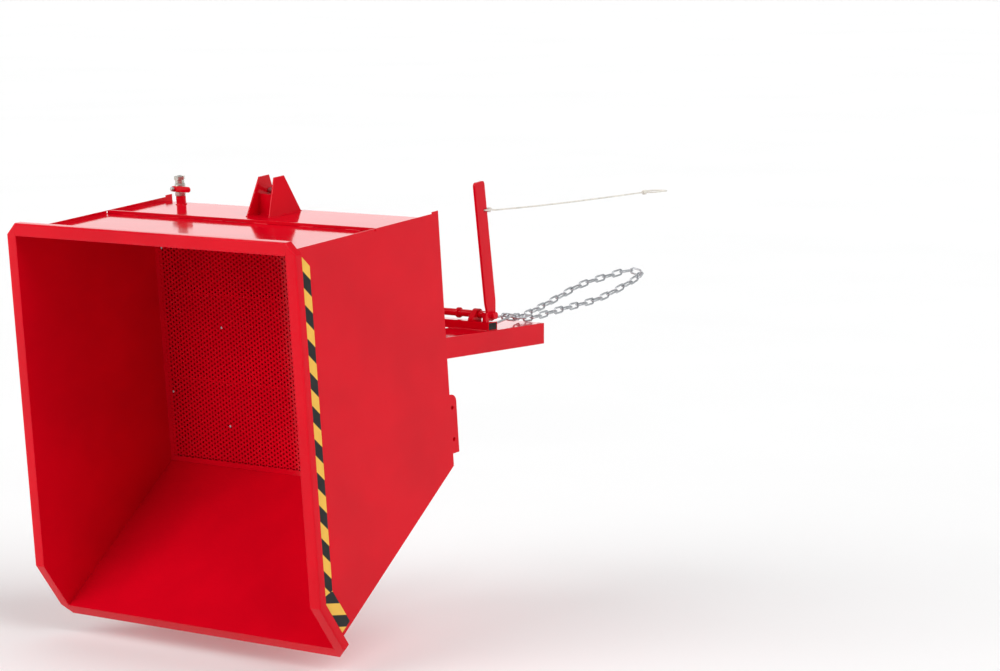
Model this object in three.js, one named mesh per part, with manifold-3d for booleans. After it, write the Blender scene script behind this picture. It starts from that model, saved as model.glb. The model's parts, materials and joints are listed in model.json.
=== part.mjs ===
// Self dumping hopper on a fork frame, tipped out over its dump stop.
// Millimetres, +X towards the mouth, +Y to the driver's left, +Z up.
// The origin lies midway between the fork pockets at their rear ends, at the forks' top faces.
import * as THREE from 'three';
import * as BufferGeometryUtils from 'three/addons/utils/BufferGeometryUtils.js';
import Module from 'manifold-3d';

const wasm = await Module();
wasm.setup();

const degrees = Math.PI / 180;

// General
const gap = 0.3;            // left between pieces that touch
const overrun = 5;          // how far a cutting shape runs past what it cuts
const arcSteps = 6;         // facets of a quarter round
const mergeDistance = 0.0001;
const runningClearance = 0.4;

// Hopper shell in its upright position: x from the rear wall, z from the floor's underside
const bodyWidth = 1200;     // over the side panels
const floorLength = 852;
const mouthHeight = 775;
const slopeAngle = 55.5 * degrees;
const lipDrop = 102.5;      // the lip's height below the mouth's highest part
const lipAngle = 32 * degrees;      // fall of the mouth's front part
const sheet = 3;
const panelRise = 11.5;     // side panels stand proud of the rear wall
const rearBendRadius = 50;
const slopeFlange = 30;     // strip of floor that belongs to the slope's sheet
const panelTabLength = 32;
const panelTabRise = 6;

// Rim, a folded angle round the mouth
const rimWidth = 40;
const rimDepth = 30;
const rimSheet = 3;
const rimBendRadius = 6;
const rimBendSteps = 2;

// Stiffener across the rear wall
const stiffenerHeight = 317;
const stiffenerThickness = 6;
const drainHoleRadius = 4;
const drainHoleRise = 13;   // above the stiffener's underside

// Tipping hinge
const dumpAngle = 95.5 * degrees;
const hingeSetback = 452;   // hinge axis ahead of the rear wall
const hingeDrop = 28;       // hinge axis below the floor's underside
const hingeFromPocket = 30; // lugs' middle planes, inwards from the fork pockets
const hingePinRadius = 9;
const lugThickness = 12;
const lugRadius = 18;
const lugFootLength = 70;
const clevisWall = 8;
const clevisRadius = 20;
const clevisSlack = 1;      // on each side of the lug
const clevisFoot = 8;
const pinHeadRadius = 14;
const pinHeadHeight = 6;
const pinTail = 12;
const washerThickness = 3;
const splitPinRadius = 2;
const splitPinLength = 30;

// Fork frame
const frameWidth = 640;
const hingeFromRear = 892;  // hinge axis ahead of the pockets' rear ends
const hingeRise = 17;       // hinge axis above the pockets' tops
const pocketWidth = 180;
const pocketHeight = 75;
const pocketWall = 5;
const beamSize = 40;
const beamWall = 3;
const restBeamFromHinge = 292;
const restPadLength = 120;
const restPadWidth = 36;
const restPadFromEnd = 20;
const rearTubeDepth = 50;
const rearTubeHeight = 30;
const rearTubeFromRear = 303;

// Latch shaft and its bearings
const shaftRadius = 13;
const shaftRise = 22;       // shaft axis above the rear tube
const shaftFromRear = 288;
const shaftOverhang = 2;    // past the frame's left side
const shaftSetIn = 58;      // its other end, in from the frame's right side
const bearingThickness = 22;
const bearingFromSide = 82; // middle planes, in from the frame's sides
const bearingWall = 7;
const bearingFoot = 8;
const collarWidth = 9;
const collarFromSide = 163;
const collarRadius = 19;
const hubRadius = 20.5;

// Hand lever
const leverLean = 8.7 * degrees;
const leverLength = 482;
const leverWidth = 55;
const leverThickness = 10;
const leverFromSide = 20;   // lever's middle plane, in from the frame's left side
const leverShoulder = 48;   // height at which the lever has its full width
const leverTopRadius = 12;
const ropeHoleFromShaft = 377;
const ropeHoleFromEdge = 13;
const ropeHoleRadius = 6;
const stopThickness = 16;
const stopHeight = 34;

// Catch on the rear wall
const catchMiddle = 142;    // height of its middle above the floor
const catchFootLength = 165;
const catchTopLength = 50;
const catchReach = 129;
const catchFootSpread = 98;
const catchTopSpread = 67;
const catchPlate = 6;
const catchPinRadius = 10;
const catchPinReach = 75;   // pin axis out from the rear wall
const catchPinHeight = 115;
const catchWebReach = 70;
const catchWebHeight = 160;

// Latch hook
const hookThickness = 12;
const hookSlack = 1.5;      // between the hook's nose and the catch pin
const hookNoseDepth = 10;
const hookNoseCover = 9 * degrees;
const hookArmAngle = 10 * degrees;
const hookCrown = 27;
const hookCrownAngle = 20 * degrees;
const hookCrownSteps = 3;

// Return spring on the shaft
const springWire = 2;       // radius
const springCoils = 5;
const springPitch = 5;
const springSteps = 10;
const springSides = 5;
const springInside = 15;
const springFootReach = 34;
const springArmReach = 45;

// Front feet
const footLength = 203;
const footFromFront = 16;
const footFromSide = 69;    // outer face, in from the hopper's side
const footHeight = 120;
const footThickness = 5;
const footFlange = 30;
const footCorner = 26;
const footHoleRadius = 7;
const footHoleInset = 24;
const footHoleFromRear = 45;
const footHoleSpacing = 109;

// Sieve over the sump
const sieveHeight = 108;
const sieveThickness = 2;
const sieveHoleRadius = 20;
const sievePitch = 90;
const sieveMargin = 30;
const sieveHoleSides = 6;
const ledgeWidth = 30;
const ledgeThickness = 5;
const bearerThickness = 6;
const bearerCount = 2;
const bearerWindow = 25;    // clear height under a bearer, for the liquid
const bearerWindowCount = 4;
const bearerFoot = 60;

// Drain valve
const valveFromSide = 124;  // axis, in from the hopper's right side
const valveHeight = 85;
const valveBoreRadius = 9;
const socketRadius = 17;
const socketLength = 30;
const valveLength = 70;
const valveHexRadius = 20;
const valveHexLength = 14;
const valveWaistRadius = 16;
const valveHousingRadius = 19;
const valveHousingLength = 32;
const valveHousingChamfer = 3;
const valveStemFromSocket = 29;
const valveBallRadius = 13;
const ballSeatClearance = 1.2;
const valveBossRadius = 10;
const valveBossReach = 31;
const valveStemRadius = 5;
const valveStemReach = 47;  // from the ball's centre
const valveHandleLength = 88;
const valveHandleWidth = 20;
const valveHandleThickness = 5;
const valveNutRadius = 9;
const valveNutHeight = 7;

// Hazard tape
const tapeThickness = 0.5;
const tapeWidth = 50;
const tapeFromMouth = 60;
const tapeStart = 3;
const tapeEndMargin = 14;

// Safety chain and its spring hook
const chainWire = 3.5;      // radius
const chainPitch = 49;
const chainWidth = 27;
const chainSides = 5;
const chainBendSteps = 4;
const chainBite = 1.4;      // how deep neighbouring links press together
const chainStrandSpacing = 20;
const chainEyeThickness = 8;
const chainEyeReach = 30;
const chainEyeRadius = 15;
const chainEyeHoleRadius = 8.5;
const chainEyeFromSide = 58;
const springHookLength = 120;
const springHookWidth = 56;
const springHookWire = 4; // radius
const springHookSides = 8;
const springHookSteps = 8;
const springHookTilt = 10 * degrees;
const springHookSlack = 1.2;  // between the hook and the eye plate's hole
const chainSlack = 2.6;     // between the hook and the chain's end links
const gateLength = 56;
const gateWire = 3.5;        // radius

// Pull rope
const ropeRadius = 3;
const ropeSides = 8;
const ropeSteps = 40;
const ropeBend = 3.6;       // of the rope's middle, where it goes round the lever
const knotRadius = 9;
const knotLength = 24;
const knotSteps = 6;
const handLoopLength = 110;
const handLoopWidth = 60;
const loopSteps = 3;        // facets of a rope loop's corner

const red = { color: 0xd0101c, roughness: 0.3, metalness: 0.1 };
const zinc = { color: 0xb9bcc0, roughness: 0.35, metalness: 0.9 };
const nickel = { color: 0xc8c8c4, roughness: 0.25, metalness: 0.95 };
const rubber = { color: 0x1d1d1d, roughness: 0.8, metalness: 0 };
const tapeYellow = { color: 0xebbd5c, roughness: 0.5, metalness: 0 };
const ropeWhite = { color: 0xe6e2d8, roughness: 0.8, metalness: 0 };

// Shapes and solids
function point(x, z) {
  return new THREE.Vector2(x, z);
}

function outline(points, holes = []) {
  const shape = new THREE.Shape(points);
  shape.holes = holes.map((hole) => new THREE.Path(hole));
  return shape;
}

// An arc's points about a centre, angles measured from +x towards +z
function arc(centre, radius, start, end, steps = arcSteps) {
  const points = [];
  for (let i = 0; i <= steps; i += 1) {
    const angle = start + (end - start) * i / steps;
    points.push(point(centre.x + radius * Math.cos(angle), centre.y + radius * Math.sin(angle)));
  }
  return points;
}

function circle(centre, radius, steps = 4 * arcSteps) {
  return arc(centre, radius, 0, 2 * Math.PI, steps).slice(0, -1);
}

function rectangle(x0, z0, x1, z1) {
  return [point(x0, z0), point(x1, z0), point(x1, z1), point(x0, z1)];
}

// A profile in x and z, extruded along y from y0 to y1
function across(shape, y0, y1) {
  const geometry = new THREE.ExtrudeGeometry(shape, { depth: y1 - y0, bevelEnabled: false, steps: 1 });
  geometry.rotateX(Math.PI / 2);
  geometry.translate(0, y1, 0);
  return geometry;
}

// A profile in y and z, extruded along x from x0 to x1
function along(shape, x0, x1) {
  const geometry = new THREE.ExtrudeGeometry(shape, { depth: x1 - x0, bevelEnabled: false, steps: 1 });
  geometry.rotateX(Math.PI / 2);
  geometry.rotateZ(Math.PI / 2);
  geometry.translate(x0, 0, 0);
  return geometry;
}

// A profile in x and y, extruded upwards from z0 to z1
function upwards(shape, z0, z1) {
  const geometry = new THREE.ExtrudeGeometry(shape, { depth: z1 - z0, bevelEnabled: false, steps: 1 });
  geometry.translate(0, 0, z0);
  return geometry;
}

function block(x0, x1, y0, y1, z0, z1) {
  const geometry = new THREE.BoxGeometry(x1 - x0, y1 - y0, z1 - z0);
  geometry.translate((x0 + x1) / 2, (y0 + y1) / 2, (z0 + z1) / 2);
  return geometry;
}

// A round bar along y
function roundBar(x, z, radius, y0, y1, steps = 4 * arcSteps) {
  return across(outline(circle(point(x, z), radius, steps)), y0, y1);
}

// A closed profile of radius and height, turned about z
function turned(profile, steps = 4 * arcSteps) {
  const geometry = new THREE.LatheGeometry(profile, steps);
  geometry.rotateX(Math.PI / 2);
  return geometry;
}

function weld(geometry) {
  const bare = geometry.clone();
  bare.deleteAttribute('normal');
  bare.deleteAttribute('uv');
  const merged = BufferGeometryUtils.mergeVertices(bare, mergeDistance);
  const index = [];
  const old = merged.index.array;
  for (let i = 0; i < old.length; i += 3) {
    const [a, b, c] = [old[i], old[i + 1], old[i + 2]];
    if (a !== b && b !== c && c !== a) index.push(a, b, c);
  }
  merged.setIndex(index);
  return merged;
}

function toSolid(geometry) {
  const merged = weld(geometry);
  return new wasm.Manifold(new wasm.Mesh({
    numProp: 3,
    vertProperties: new Float32Array(merged.attributes.position.array),
    triVerts: new Uint32Array(merged.index.array),
  }));
}

function toGeometry(solid) {
  const mesh = solid.getMesh();
  const geometry = new THREE.BufferGeometry();
  geometry.setAttribute('position', new THREE.BufferAttribute(new Float32Array(mesh.vertProperties), 3));
  geometry.setIndex(new THREE.BufferAttribute(new Uint32Array(mesh.triVerts), 1));
  return geometry;
}

function join(...geometries) {
  return toGeometry(geometries.map(toSolid).reduce((sum, next) => sum.add(next)));
}

function cut(geometry, ...tools) {
  return toGeometry(tools.map(toSolid).reduce((rest, tool) => rest.subtract(tool), toSolid(geometry)));
}

// A closed body through a row of loops of points, with flat ends
function loft(loops) {
  const count = loops[0].length;
  const positions = loops.flat().flatMap((p) => [p.x, p.y, p.z]);
  const index = [];
  for (let i = 0; i + 1 < loops.length; i += 1) {
    for (let j = 0; j < count; j += 1) {
      const k = (j + 1) % count;
      const [a, b, c, d] = [i * count + j, i * count + k, (i + 1) * count + k, (i + 1) * count + j];
      index.push(a, b, c, a, c, d);
    }
  }
  const ends = [[loops[0], 0, false], [loops.at(-1), (loops.length - 1) * count, true]];
  for (const [loop, first, turn] of ends) {
    const normal = loopNormal(loop);
    const side = new THREE.Vector3().subVectors(loop[1], loop[0]).normalize();
    const up = new THREE.Vector3().crossVectors(normal, side);
    const flat = loop.map((p) => point(p.dot(side), p.dot(up)));
    for (const [a, b, c] of THREE.ShapeUtils.triangulateShape(flat, [])) {
      index.push(...(turn ? [first + a, first + b, first + c] : [first + a, first + c, first + b]));
    }
  }
  const geometry = new THREE.BufferGeometry();
  geometry.setAttribute('position', new THREE.Float32BufferAttribute(positions, 3));
  geometry.setIndex(index);
  return outwards(geometry);
}

function loopNormal(loop) {
  const normal = new THREE.Vector3();
  loop.forEach((p, i) => normal.add(new THREE.Vector3().crossVectors(p, loop[(i + 1) % loop.length])));
  return normal.normalize();
}

function volume(geometry) {
  const p = geometry.attributes.position;
  const [a, b, c] = [new THREE.Vector3(), new THREE.Vector3(), new THREE.Vector3()];
  let sum = 0;
  for (let i = 0; i < geometry.index.count; i += 3) {
    a.fromBufferAttribute(p, geometry.index.getX(i));
    b.fromBufferAttribute(p, geometry.index.getX(i + 1));
    c.fromBufferAttribute(p, geometry.index.getX(i + 2));
    sum += a.dot(b.cross(c));
  }
  return sum;
}

function outwards(geometry) {
  if (volume(geometry) >= 0) return geometry;
  const index = geometry.index.array;
  for (let i = 0; i < index.length; i += 3) [index[i], index[i + 1]] = [index[i + 1], index[i]];
  return geometry;
}

// A round wire swept along a path of points, closed or with flat ends
function wire(path, radius, sides, closed = false, sideways = new THREE.Vector3(0, 1, 0)) {
  const last = path.length - 1;
  const loops = path.map((p, i) => {
    const before = path[closed ? (i + last) % path.length : Math.max(i - 1, 0)];
    const after = path[closed ? (i + 1) % path.length : Math.min(i + 1, last)];
    const forward = new THREE.Vector3().subVectors(after, before).normalize();
    const side = sideways.clone().addScaledVector(forward, -sideways.dot(forward)).normalize();
    const up = new THREE.Vector3().crossVectors(forward, side);
    return Array.from({ length: sides }, (_, j) => {
      const angle = 2 * Math.PI * j / sides;
      return p.clone()
        .addScaledVector(side, radius * Math.cos(angle))
        .addScaledVector(up, radius * Math.sin(angle));
    });
  });
  if (!closed) return loft(loops);
  const positions = loops.flat().flatMap((p) => [p.x, p.y, p.z]);
  const index = [];
  for (let i = 0; i < loops.length; i += 1) {
    for (let j = 0; j < sides; j += 1) {
      const [n, k] = [(i + 1) % loops.length, (j + 1) % sides];
      const [a, b, c, d] = [i * sides + j, i * sides + k, n * sides + k, n * sides + j];
      index.push(a, b, c, a, c, d);
    }
  }
  const geometry = new THREE.BufferGeometry();
  geometry.setAttribute('position', new THREE.Float32BufferAttribute(positions, 3));
  geometry.setIndex(index);
  return outwards(geometry);
}

function piece(parent, name, geometry, look) {
  const mesh = new THREE.Mesh(geometry, new THREE.MeshStandardMaterial(look));
  mesh.name = name;
  parent.add(mesh);
  return mesh;
}

const sides = [['left', 1], ['right', -1]];

// A span of y on one side of the centre plane, in rising order
function span(sign, near, far) {
  return sign > 0 ? [near, far] : [-far, -near];
}

// The smallest convex outline round some points
function hull(points) {
  const sorted = [...points].sort((a, b) => a.x - b.x || a.y - b.y);
  const half = (row) => {
    const kept = [];
    for (const p of row) {
      while (kept.length > 1) {
        const [a, b] = kept.slice(-2);
        if ((b.x - a.x) * (p.y - a.y) - (b.y - a.y) * (p.x - a.x) > 0) break;
        kept.pop();
      }
      kept.push(p);
    }
    return kept.slice(0, -1);
  };
  return [...half(sorted), ...half(sorted.reverse())];
}

// Shell: the hopper's walls in their upright position
const panelOuter = bodyWidth / 2;
const panelInner = panelOuter - sheet;
const wallEnd = panelInner - gap;       // end of a sheet that fits between the side panels
const footPlace = panelOuter - footFromSide;
const valvePlace = panelOuter - valveFromSide;
const slopeRun = point(Math.cos(slopeAngle), Math.sin(slopeAngle));
const slopeInward = point(-Math.sin(slopeAngle), Math.cos(slopeAngle));
const slopeFoot = point(floorLength, 0);
const slopeLength = (mouthHeight - lipDrop) / Math.sin(slopeAngle);
const lip = slopeFoot.clone().addScaledVector(slopeRun, slopeLength);
const facetRun = point(Math.cos(lipAngle), -Math.sin(lipAngle));
const facetNormal = point(Math.sin(lipAngle), Math.cos(lipAngle));
const mouthNormal = point(0, 1);
const kink = point(lip.x - (mouthHeight - lip.y) / Math.tan(lipAngle), mouthHeight);
const mitre = mouthNormal.clone().add(facetNormal).divideScalar(1 + mouthNormal.dot(facetNormal));

// The slope's inner face, at a height above the floor's underside
function slopeInnerAt(height) {
  const start = slopeFoot.clone().addScaledVector(slopeInward, sheet);
  return start.x + (height - start.y) / Math.tan(slopeAngle);
}

function sidePanel(sign) {
  const stripTop = mouthHeight - rimSheet - gap;
  const shape = outline([
    point(-panelRise - panelTabRise, 0),
    slopeFoot,
    lip,
    kink,
    point(0, mouthHeight),
    point(0, stripTop),
    point(-panelRise, stripTop),
    point(-panelRise, panelTabLength),
    point(-panelRise - panelTabRise, panelTabLength),
  ], [circle(point(-panelRise / 2, stiffenerHeight + drainHoleRise), drainHoleRadius, 2 * arcSteps)]);
  return across(shape, ...span(sign, panelInner, panelOuter));
}

function rearWall() {
  const centre = point(rearBendRadius, rearBendRadius);
  const wall = across(outline([
    point(0, mouthHeight),
    ...arc(centre, rearBendRadius, Math.PI, 1.5 * Math.PI),
    ...arc(centre, rearBendRadius - sheet, 1.5 * Math.PI, Math.PI),
    point(sheet, mouthHeight),
  ]), -wallEnd, wallEnd);
  const bore = along(outline(circle(point(-valvePlace, valveHeight), valveBoreRadius, 2 * arcSteps)),
    -overrun, sheet + overrun);
  return cut(wall, bore);
}

function floorPanel() {
  return block(rearBendRadius + gap, floorLength - slopeFlange - gap, -wallEnd, wallEnd, 0, sheet);
}

function frontSlope() {
  const innerEnd = lip.clone().addScaledVector(facetRun, -sheet / Math.abs(facetRun.cross(slopeRun)));
  const shape = outline([
    point(floorLength - slopeFlange, 0),
    slopeFoot,
    lip,
    innerEnd,
    point(slopeInnerAt(sheet), sheet),
    point(floorLength - slopeFlange, sheet),
  ]);
  return across(shape, -wallEnd, wallEnd);
}

// The rim's section: x runs outwards from the wall, y down from the mouth
function rimSection() {
  const bend = point(rimWidth - rimBendRadius, rimBendRadius);
  return [
    point(gap, 0),
    ...arc(bend, rimBendRadius, -Math.PI / 2, 0, rimBendSteps),
    point(rimWidth, rimDepth),
    point(rimWidth - rimSheet, rimDepth),
    ...arc(bend, rimBendRadius - rimSheet, 0, -Math.PI / 2, rimBendSteps),
    point(gap, rimSheet),
  ];
}

// The rim's section placed at a point of the mouth's edge
function rimLoop(base, outDirection, down) {
  return rimSection().map((p) => base.clone()
    .addScaledVector(outDirection, p.x)
    .addScaledVector(down, p.y));
}

function spatial(p, y) {
  return new THREE.Vector3(p.x, y, p.y);
}

const facetOut = spatial(facetRun, 0);
const rearOut = new THREE.Vector3(-1, 0, 0);
const mouthDown = spatial(mouthNormal, 0).negate();
const facetDown = spatial(facetNormal, 0).negate();

// A side rail turns the corner at both ends with a flat chamfer
function rimSide(sign) {
  const sideOut = new THREE.Vector3(0, sign, 0);
  const rearCorner = new THREE.Vector3(0, sign * panelOuter, mouthHeight);
  const lipCorner = spatial(lip, sign * panelOuter);
  return loft([
    rimLoop(rearCorner, rearOut, mouthDown),
    rimLoop(rearCorner, sideOut, mouthDown),
    rimLoop(spatial(kink, sign * panelOuter), sideOut, spatial(mitre, 0).negate()),
    rimLoop(lipCorner, sideOut, facetDown),
    rimLoop(lipCorner, facetOut, facetDown),
  ]);
}

function rimStraight(base, outDirection, down) {
  const end = panelOuter - gap;
  return loft([-end, end].map((y) => rimLoop(base.clone().setY(y), outDirection, down)));
}

function stiffener() {
  return block(-panelRise, -gap, -wallEnd, wallEnd, stiffenerHeight, stiffenerHeight + stiffenerThickness);
}

// Catch: two plates that lean together, with a pin and a web between them
function catchPlateHalf(reach) {
  return (catchFootSpread + (catchTopSpread - catchFootSpread) * reach / catchReach) / 2;
}

function catchLoop(reach, length, sign) {
  const [low, high] = [catchMiddle - length / 2, catchMiddle + length / 2];
  const inner = sign * (catchPlateHalf(reach) - catchPlate / 2);
  const outer = sign * (catchPlateHalf(reach) + catchPlate / 2);
  return [
    new THREE.Vector3(-reach, inner, low),
    new THREE.Vector3(-reach, outer, low),
    new THREE.Vector3(-reach, outer, high),
    new THREE.Vector3(-reach, inner, high),
  ];
}

function catchSide(sign) {
  return loft([catchLoop(gap, catchFootLength, sign), catchLoop(catchReach, catchTopLength, sign)]);
}

function catchPin() {
  const end = catchPlateHalf(catchPinReach + catchPinRadius) - catchPlate / 2 - gap;
  return roundBar(-catchPinReach, catchPinHeight, catchPinRadius, -end, end);
}

function catchWeb() {
  const half = (reach) => catchPlateHalf(reach) - catchPlate / 2 - gap;
  return upwards(outline([
    point(-gap, -half(gap)),
    point(-gap, half(gap)),
    point(-catchWebReach, half(catchWebReach)),
    point(-catchWebReach, -half(catchWebReach)),
  ]), catchWebHeight, catchWebHeight + catchPlate);
}

// Sieve, its ledges and its bearers
const sieveFront = slopeInnerAt(sieveHeight) - 2 * gap;
const sieveRear = sheet + gap;

function sieveSheet() {
  const holes = [];
  const rowPitch = sievePitch * Math.cos(Math.PI / 6);
  const rows = Math.floor((sieveFront - sieveRear - 2 * sieveMargin - 2 * sieveHoleRadius) / rowPitch);
  const columns = Math.floor((2 * wallEnd - 2 * sieveMargin - 2 * sieveHoleRadius) / sievePitch);
  const firstRow = (sieveFront + sieveRear - rows * rowPitch) / 2;
  for (let row = 0; row <= rows; row += 1) {
    const inset = row % 2;
    for (let column = 0; column <= columns - inset; column += 1) {
      const y = (column - (columns - inset) / 2) * sievePitch;
      holes.push(circle(point(firstRow + row * rowPitch, y), sieveHoleRadius, sieveHoleSides));
    }
  }
  const shape = outline(rectangle(sieveRear, -wallEnd, sieveFront, wallEnd), holes);
  return upwards(shape, sieveHeight, sieveHeight + sieveThickness);
}

const ledgeInner = wallEnd - ledgeWidth;
const ledgeTop = sieveHeight - gap;

function sieveLedge(sign) {
  const end = slopeInnerAt(ledgeTop - ledgeThickness) - 2 * gap;
  return block(sieveRear, end, ...span(sign, ledgeInner, wallEnd), ledgeTop - ledgeThickness, ledgeTop);
}

function sieveBearer(x) {
  const end = ledgeInner - gap;
  const bottom = sheet + gap;
  const bay = (2 * end - bearerFoot) / bearerWindowCount;
  const edge = [];
  for (let i = 0; i < bearerWindowCount; i += 1) {
    const start = -end + bearerFoot + i * bay;
    const stop = start + bay - bearerFoot;
    edge.push(
      point(start, bottom),
      point(start + bearerWindow, bottom + bearerWindow),
      point(stop - bearerWindow, bottom + bearerWindow),
      point(stop, bottom),
    );
  }
  const shape = outline([point(-end, bottom), ...edge, point(end, bottom), point(end, ledgeTop),
    point(-end, ledgeTop)]);
  return along(shape, x - bearerThickness / 2, x + bearerThickness / 2);
}

// Front feet under the floor
function foot(sign) {
  const front = floorLength - footFromFront;
  const rear = front - footLength;
  const corner = point(rear + footCorner, footCorner - footHeight);
  const holes = [footHoleFromRear, footHoleFromRear + footHoleSpacing].map((x) => (
    circle(point(rear + x, footHoleInset - footHeight), footHoleRadius, 2 * arcSteps)));
  const plate = across(outline([
    point(rear, -gap),
    ...arc(corner, footCorner, Math.PI, 1.5 * Math.PI),
    point(front, -footHeight),
    point(front, -gap),
  ], holes), ...span(sign, footPlace - footThickness, footPlace));
  const flange = block(rear + footCorner, front, ...span(sign, footPlace - footFlange, footPlace),
    -footHeight, footThickness - footHeight);
  return join(plate, flange);
}

function hingeLug(sign) {
  const pin = point(hingeSetback, -hingeDrop);
  const foot = [-1, 1].map((side) => point(hingeSetback + side * lugFootLength / 2, -gap));
  const shape = outline(hull([...circle(pin, lugRadius), ...foot]),
    [circle(pin, hingePinRadius + runningClearance)]);
  const middle = sign * hingePlace;
  return across(shape, middle - lugThickness / 2, middle + lugThickness / 2);
}

// Hazard tape along the mouth and down beside the lip
function hazardTape(sign) {
  const top = kink.clone().addScaledVector(mitre, -tapeFromMouth);
  const bottom = kink.clone().addScaledVector(mitre, -tapeFromMouth - tapeWidth);
  const reachEnd = (p) => {
    const inside = slopeInward.dot(p.clone().sub(slopeFoot)) - tapeEndMargin;
    return p.clone().addScaledVector(facetRun, inside / -slopeInward.dot(facetRun));
  };
  const shape = outline([
    point(tapeStart, top.y),
    point(tapeStart + tapeWidth, bottom.y),
    bottom,
    reachEnd(bottom),
    reachEnd(top),
    top,
  ]);
  return across(shape, ...span(sign, panelOuter + gap, panelOuter + gap + tapeThickness));
}

function makeShell(parent) {
  for (const [side, sign] of sides) {
    piece(parent, `side_panel_${side}`, sidePanel(sign), red);
    piece(parent, `rim_${side}`, rimSide(sign), red);
    piece(parent, `catch_plate_${side}`, catchSide(sign), red);
    piece(parent, `sieve_ledge_${side}`, sieveLedge(sign), red);
    piece(parent, `foot_${side}`, foot(sign), red);
    piece(parent, `hinge_lug_${side}`, hingeLug(sign), red);
    piece(parent, `hazard_tape_${side}`, hazardTape(sign), tapeYellow);
  }
  piece(parent, 'rear_wall', rearWall(), red);
  piece(parent, 'floor_panel', floorPanel(), red);
  piece(parent, 'front_slope', frontSlope(), red);
  piece(parent, 'rim_rear', rimStraight(new THREE.Vector3(0, 0, mouthHeight), rearOut, mouthDown), red);
  piece(parent, 'rim_lip', rimStraight(spatial(lip, 0), facetOut, facetDown), red);
  piece(parent, 'rear_stiffener', stiffener(), red);
  piece(parent, 'catch_pin', catchPin(), zinc);
  piece(parent, 'catch_web', catchWeb(), red);
  piece(parent, 'sieve_sheet', sieveSheet(), red);
  for (let i = 1; i <= bearerCount; i += 1) {
    const x = sieveRear + (sieveFront - sieveRear) * i / (bearerCount + 1);
    piece(parent, `sieve_bearer_${i}`, sieveBearer(x), red);
  }
}

// Drain valve, built about its own axis with z pointing away from the rear wall
function drainSocket() {
  return turned([
    point(valveBoreRadius, gap),
    point(socketRadius, gap),
    point(socketRadius, socketLength),
    point(valveBoreRadius, socketLength),
    point(valveBoreRadius, gap),
  ]);
}

function hexagonal(radius, z0, z1) {
  return upwards(outline(circle(point(0, 0), radius, 6)), z0, z1);
}

const valveFoot = socketLength + gap;
const ballHeight = valveFoot + valveStemFromSocket;
const ballSeat = valveBallRadius + ballSeatClearance;

// Stands a shape that rises along z on the ball's centre, along the stem
function stemwards(geometry) {
  geometry.rotateY(Math.PI / 2);
  geometry.translate(0, 0, ballHeight);
  return geometry;
}

function valveBody() {
  const end = valveFoot + valveLength;
  const waist = turned([
    point(0, valveFoot),
    point(valveWaistRadius, valveFoot),
    point(valveWaistRadius, end),
    point(0, end),
  ]);
  const housing = turned([
    point(0, ballHeight - valveHousingLength / 2),
    point(valveHousingRadius - valveHousingChamfer, ballHeight - valveHousingLength / 2),
    point(valveHousingRadius, ballHeight - valveHousingLength / 2 + valveHousingChamfer),
    point(valveHousingRadius, ballHeight + valveHousingLength / 2 - valveHousingChamfer),
    point(valveHousingRadius - valveHousingChamfer, ballHeight + valveHousingLength / 2),
    point(0, ballHeight + valveHousingLength / 2),
  ]);
  const boss = stemwards(upwards(outline(circle(point(0, 0), valveBossRadius)), 0, valveBossReach));
  const bore = turned([
    point(0, valveFoot - overrun),
    point(valveBoreRadius, valveFoot - overrun),
    point(valveBoreRadius, end + overrun),
    point(0, end + overrun),
  ], 2 * arcSteps);
  const seat = new THREE.SphereGeometry(ballSeat, 2 * arcSteps, arcSteps);
  seat.translate(0, 0, ballHeight);
  const stemHole = stemwards(upwards(outline(circle(point(0, 0), valveStemRadius + runningClearance,
    2 * arcSteps)), 0, valveBossReach + overrun));
  const solid = join(waist, housing, boss,
    hexagonal(valveHexRadius, valveFoot, valveFoot + valveHexLength),
    hexagonal(valveHexRadius, end - valveHexLength, end));
  return cut(solid, bore, seat, stemHole);
}

// The ball's bore lies crosswise: the valve is shut
function valveBall() {
  const ball = new THREE.SphereGeometry(valveBallRadius, 3 * arcSteps, 2 * arcSteps);
  const bore = across(outline(circle(point(0, 0), valveBoreRadius, 2 * arcSteps)),
    -valveBallRadius - overrun, valveBallRadius + overrun);
  const solid = cut(ball, bore);
  solid.translate(0, 0, ballHeight);
  return solid;
}

function valveStem() {
  const shape = outline(circle(point(0, 0), valveStemRadius));
  return stemwards(upwards(shape, valveBallRadius + gap, valveStemReach));
}

const handleFoot = valveBossReach + gap;
const nutFoot = handleFoot + valveHandleThickness + gap;

function valveHandle() {
  const half = valveHandleWidth / 2;
  const tip = point(0, valveHandleLength - 2 * half);
  const shape = outline([
    ...arc(point(0, 0), half, -Math.PI, 0),
    ...arc(tip, half, 0, Math.PI),
  ], [circle(point(0, 0), valveStemRadius + gap)]);
  return stemwards(upwards(shape, handleFoot, handleFoot + valveHandleThickness));
}

function valveNut() {
  const bore = circle(point(0, 0), valveStemRadius + gap);
  const shape = outline(circle(point(0, 0), valveNutRadius, 6), [bore]);
  return stemwards(upwards(shape, nutFoot, nutFoot + valveNutHeight));
}

function makeValve(parent) {
  const valve = new THREE.Group();
  valve.position.set(0, -valvePlace, valveHeight);
  valve.rotation.y = -Math.PI / 2;
  parent.add(valve);
  piece(valve, 'drain_socket', drainSocket(), red);
  piece(valve, 'valve_body', valveBody(), nickel);
  piece(valve, 'valve_ball', valveBall(), zinc);
  piece(valve, 'valve_stem', valveStem(), nickel);
  piece(valve, 'valve_handle', valveHandle(), red);
  piece(valve, 'valve_nut', valveNut(), zinc);
}

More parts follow.
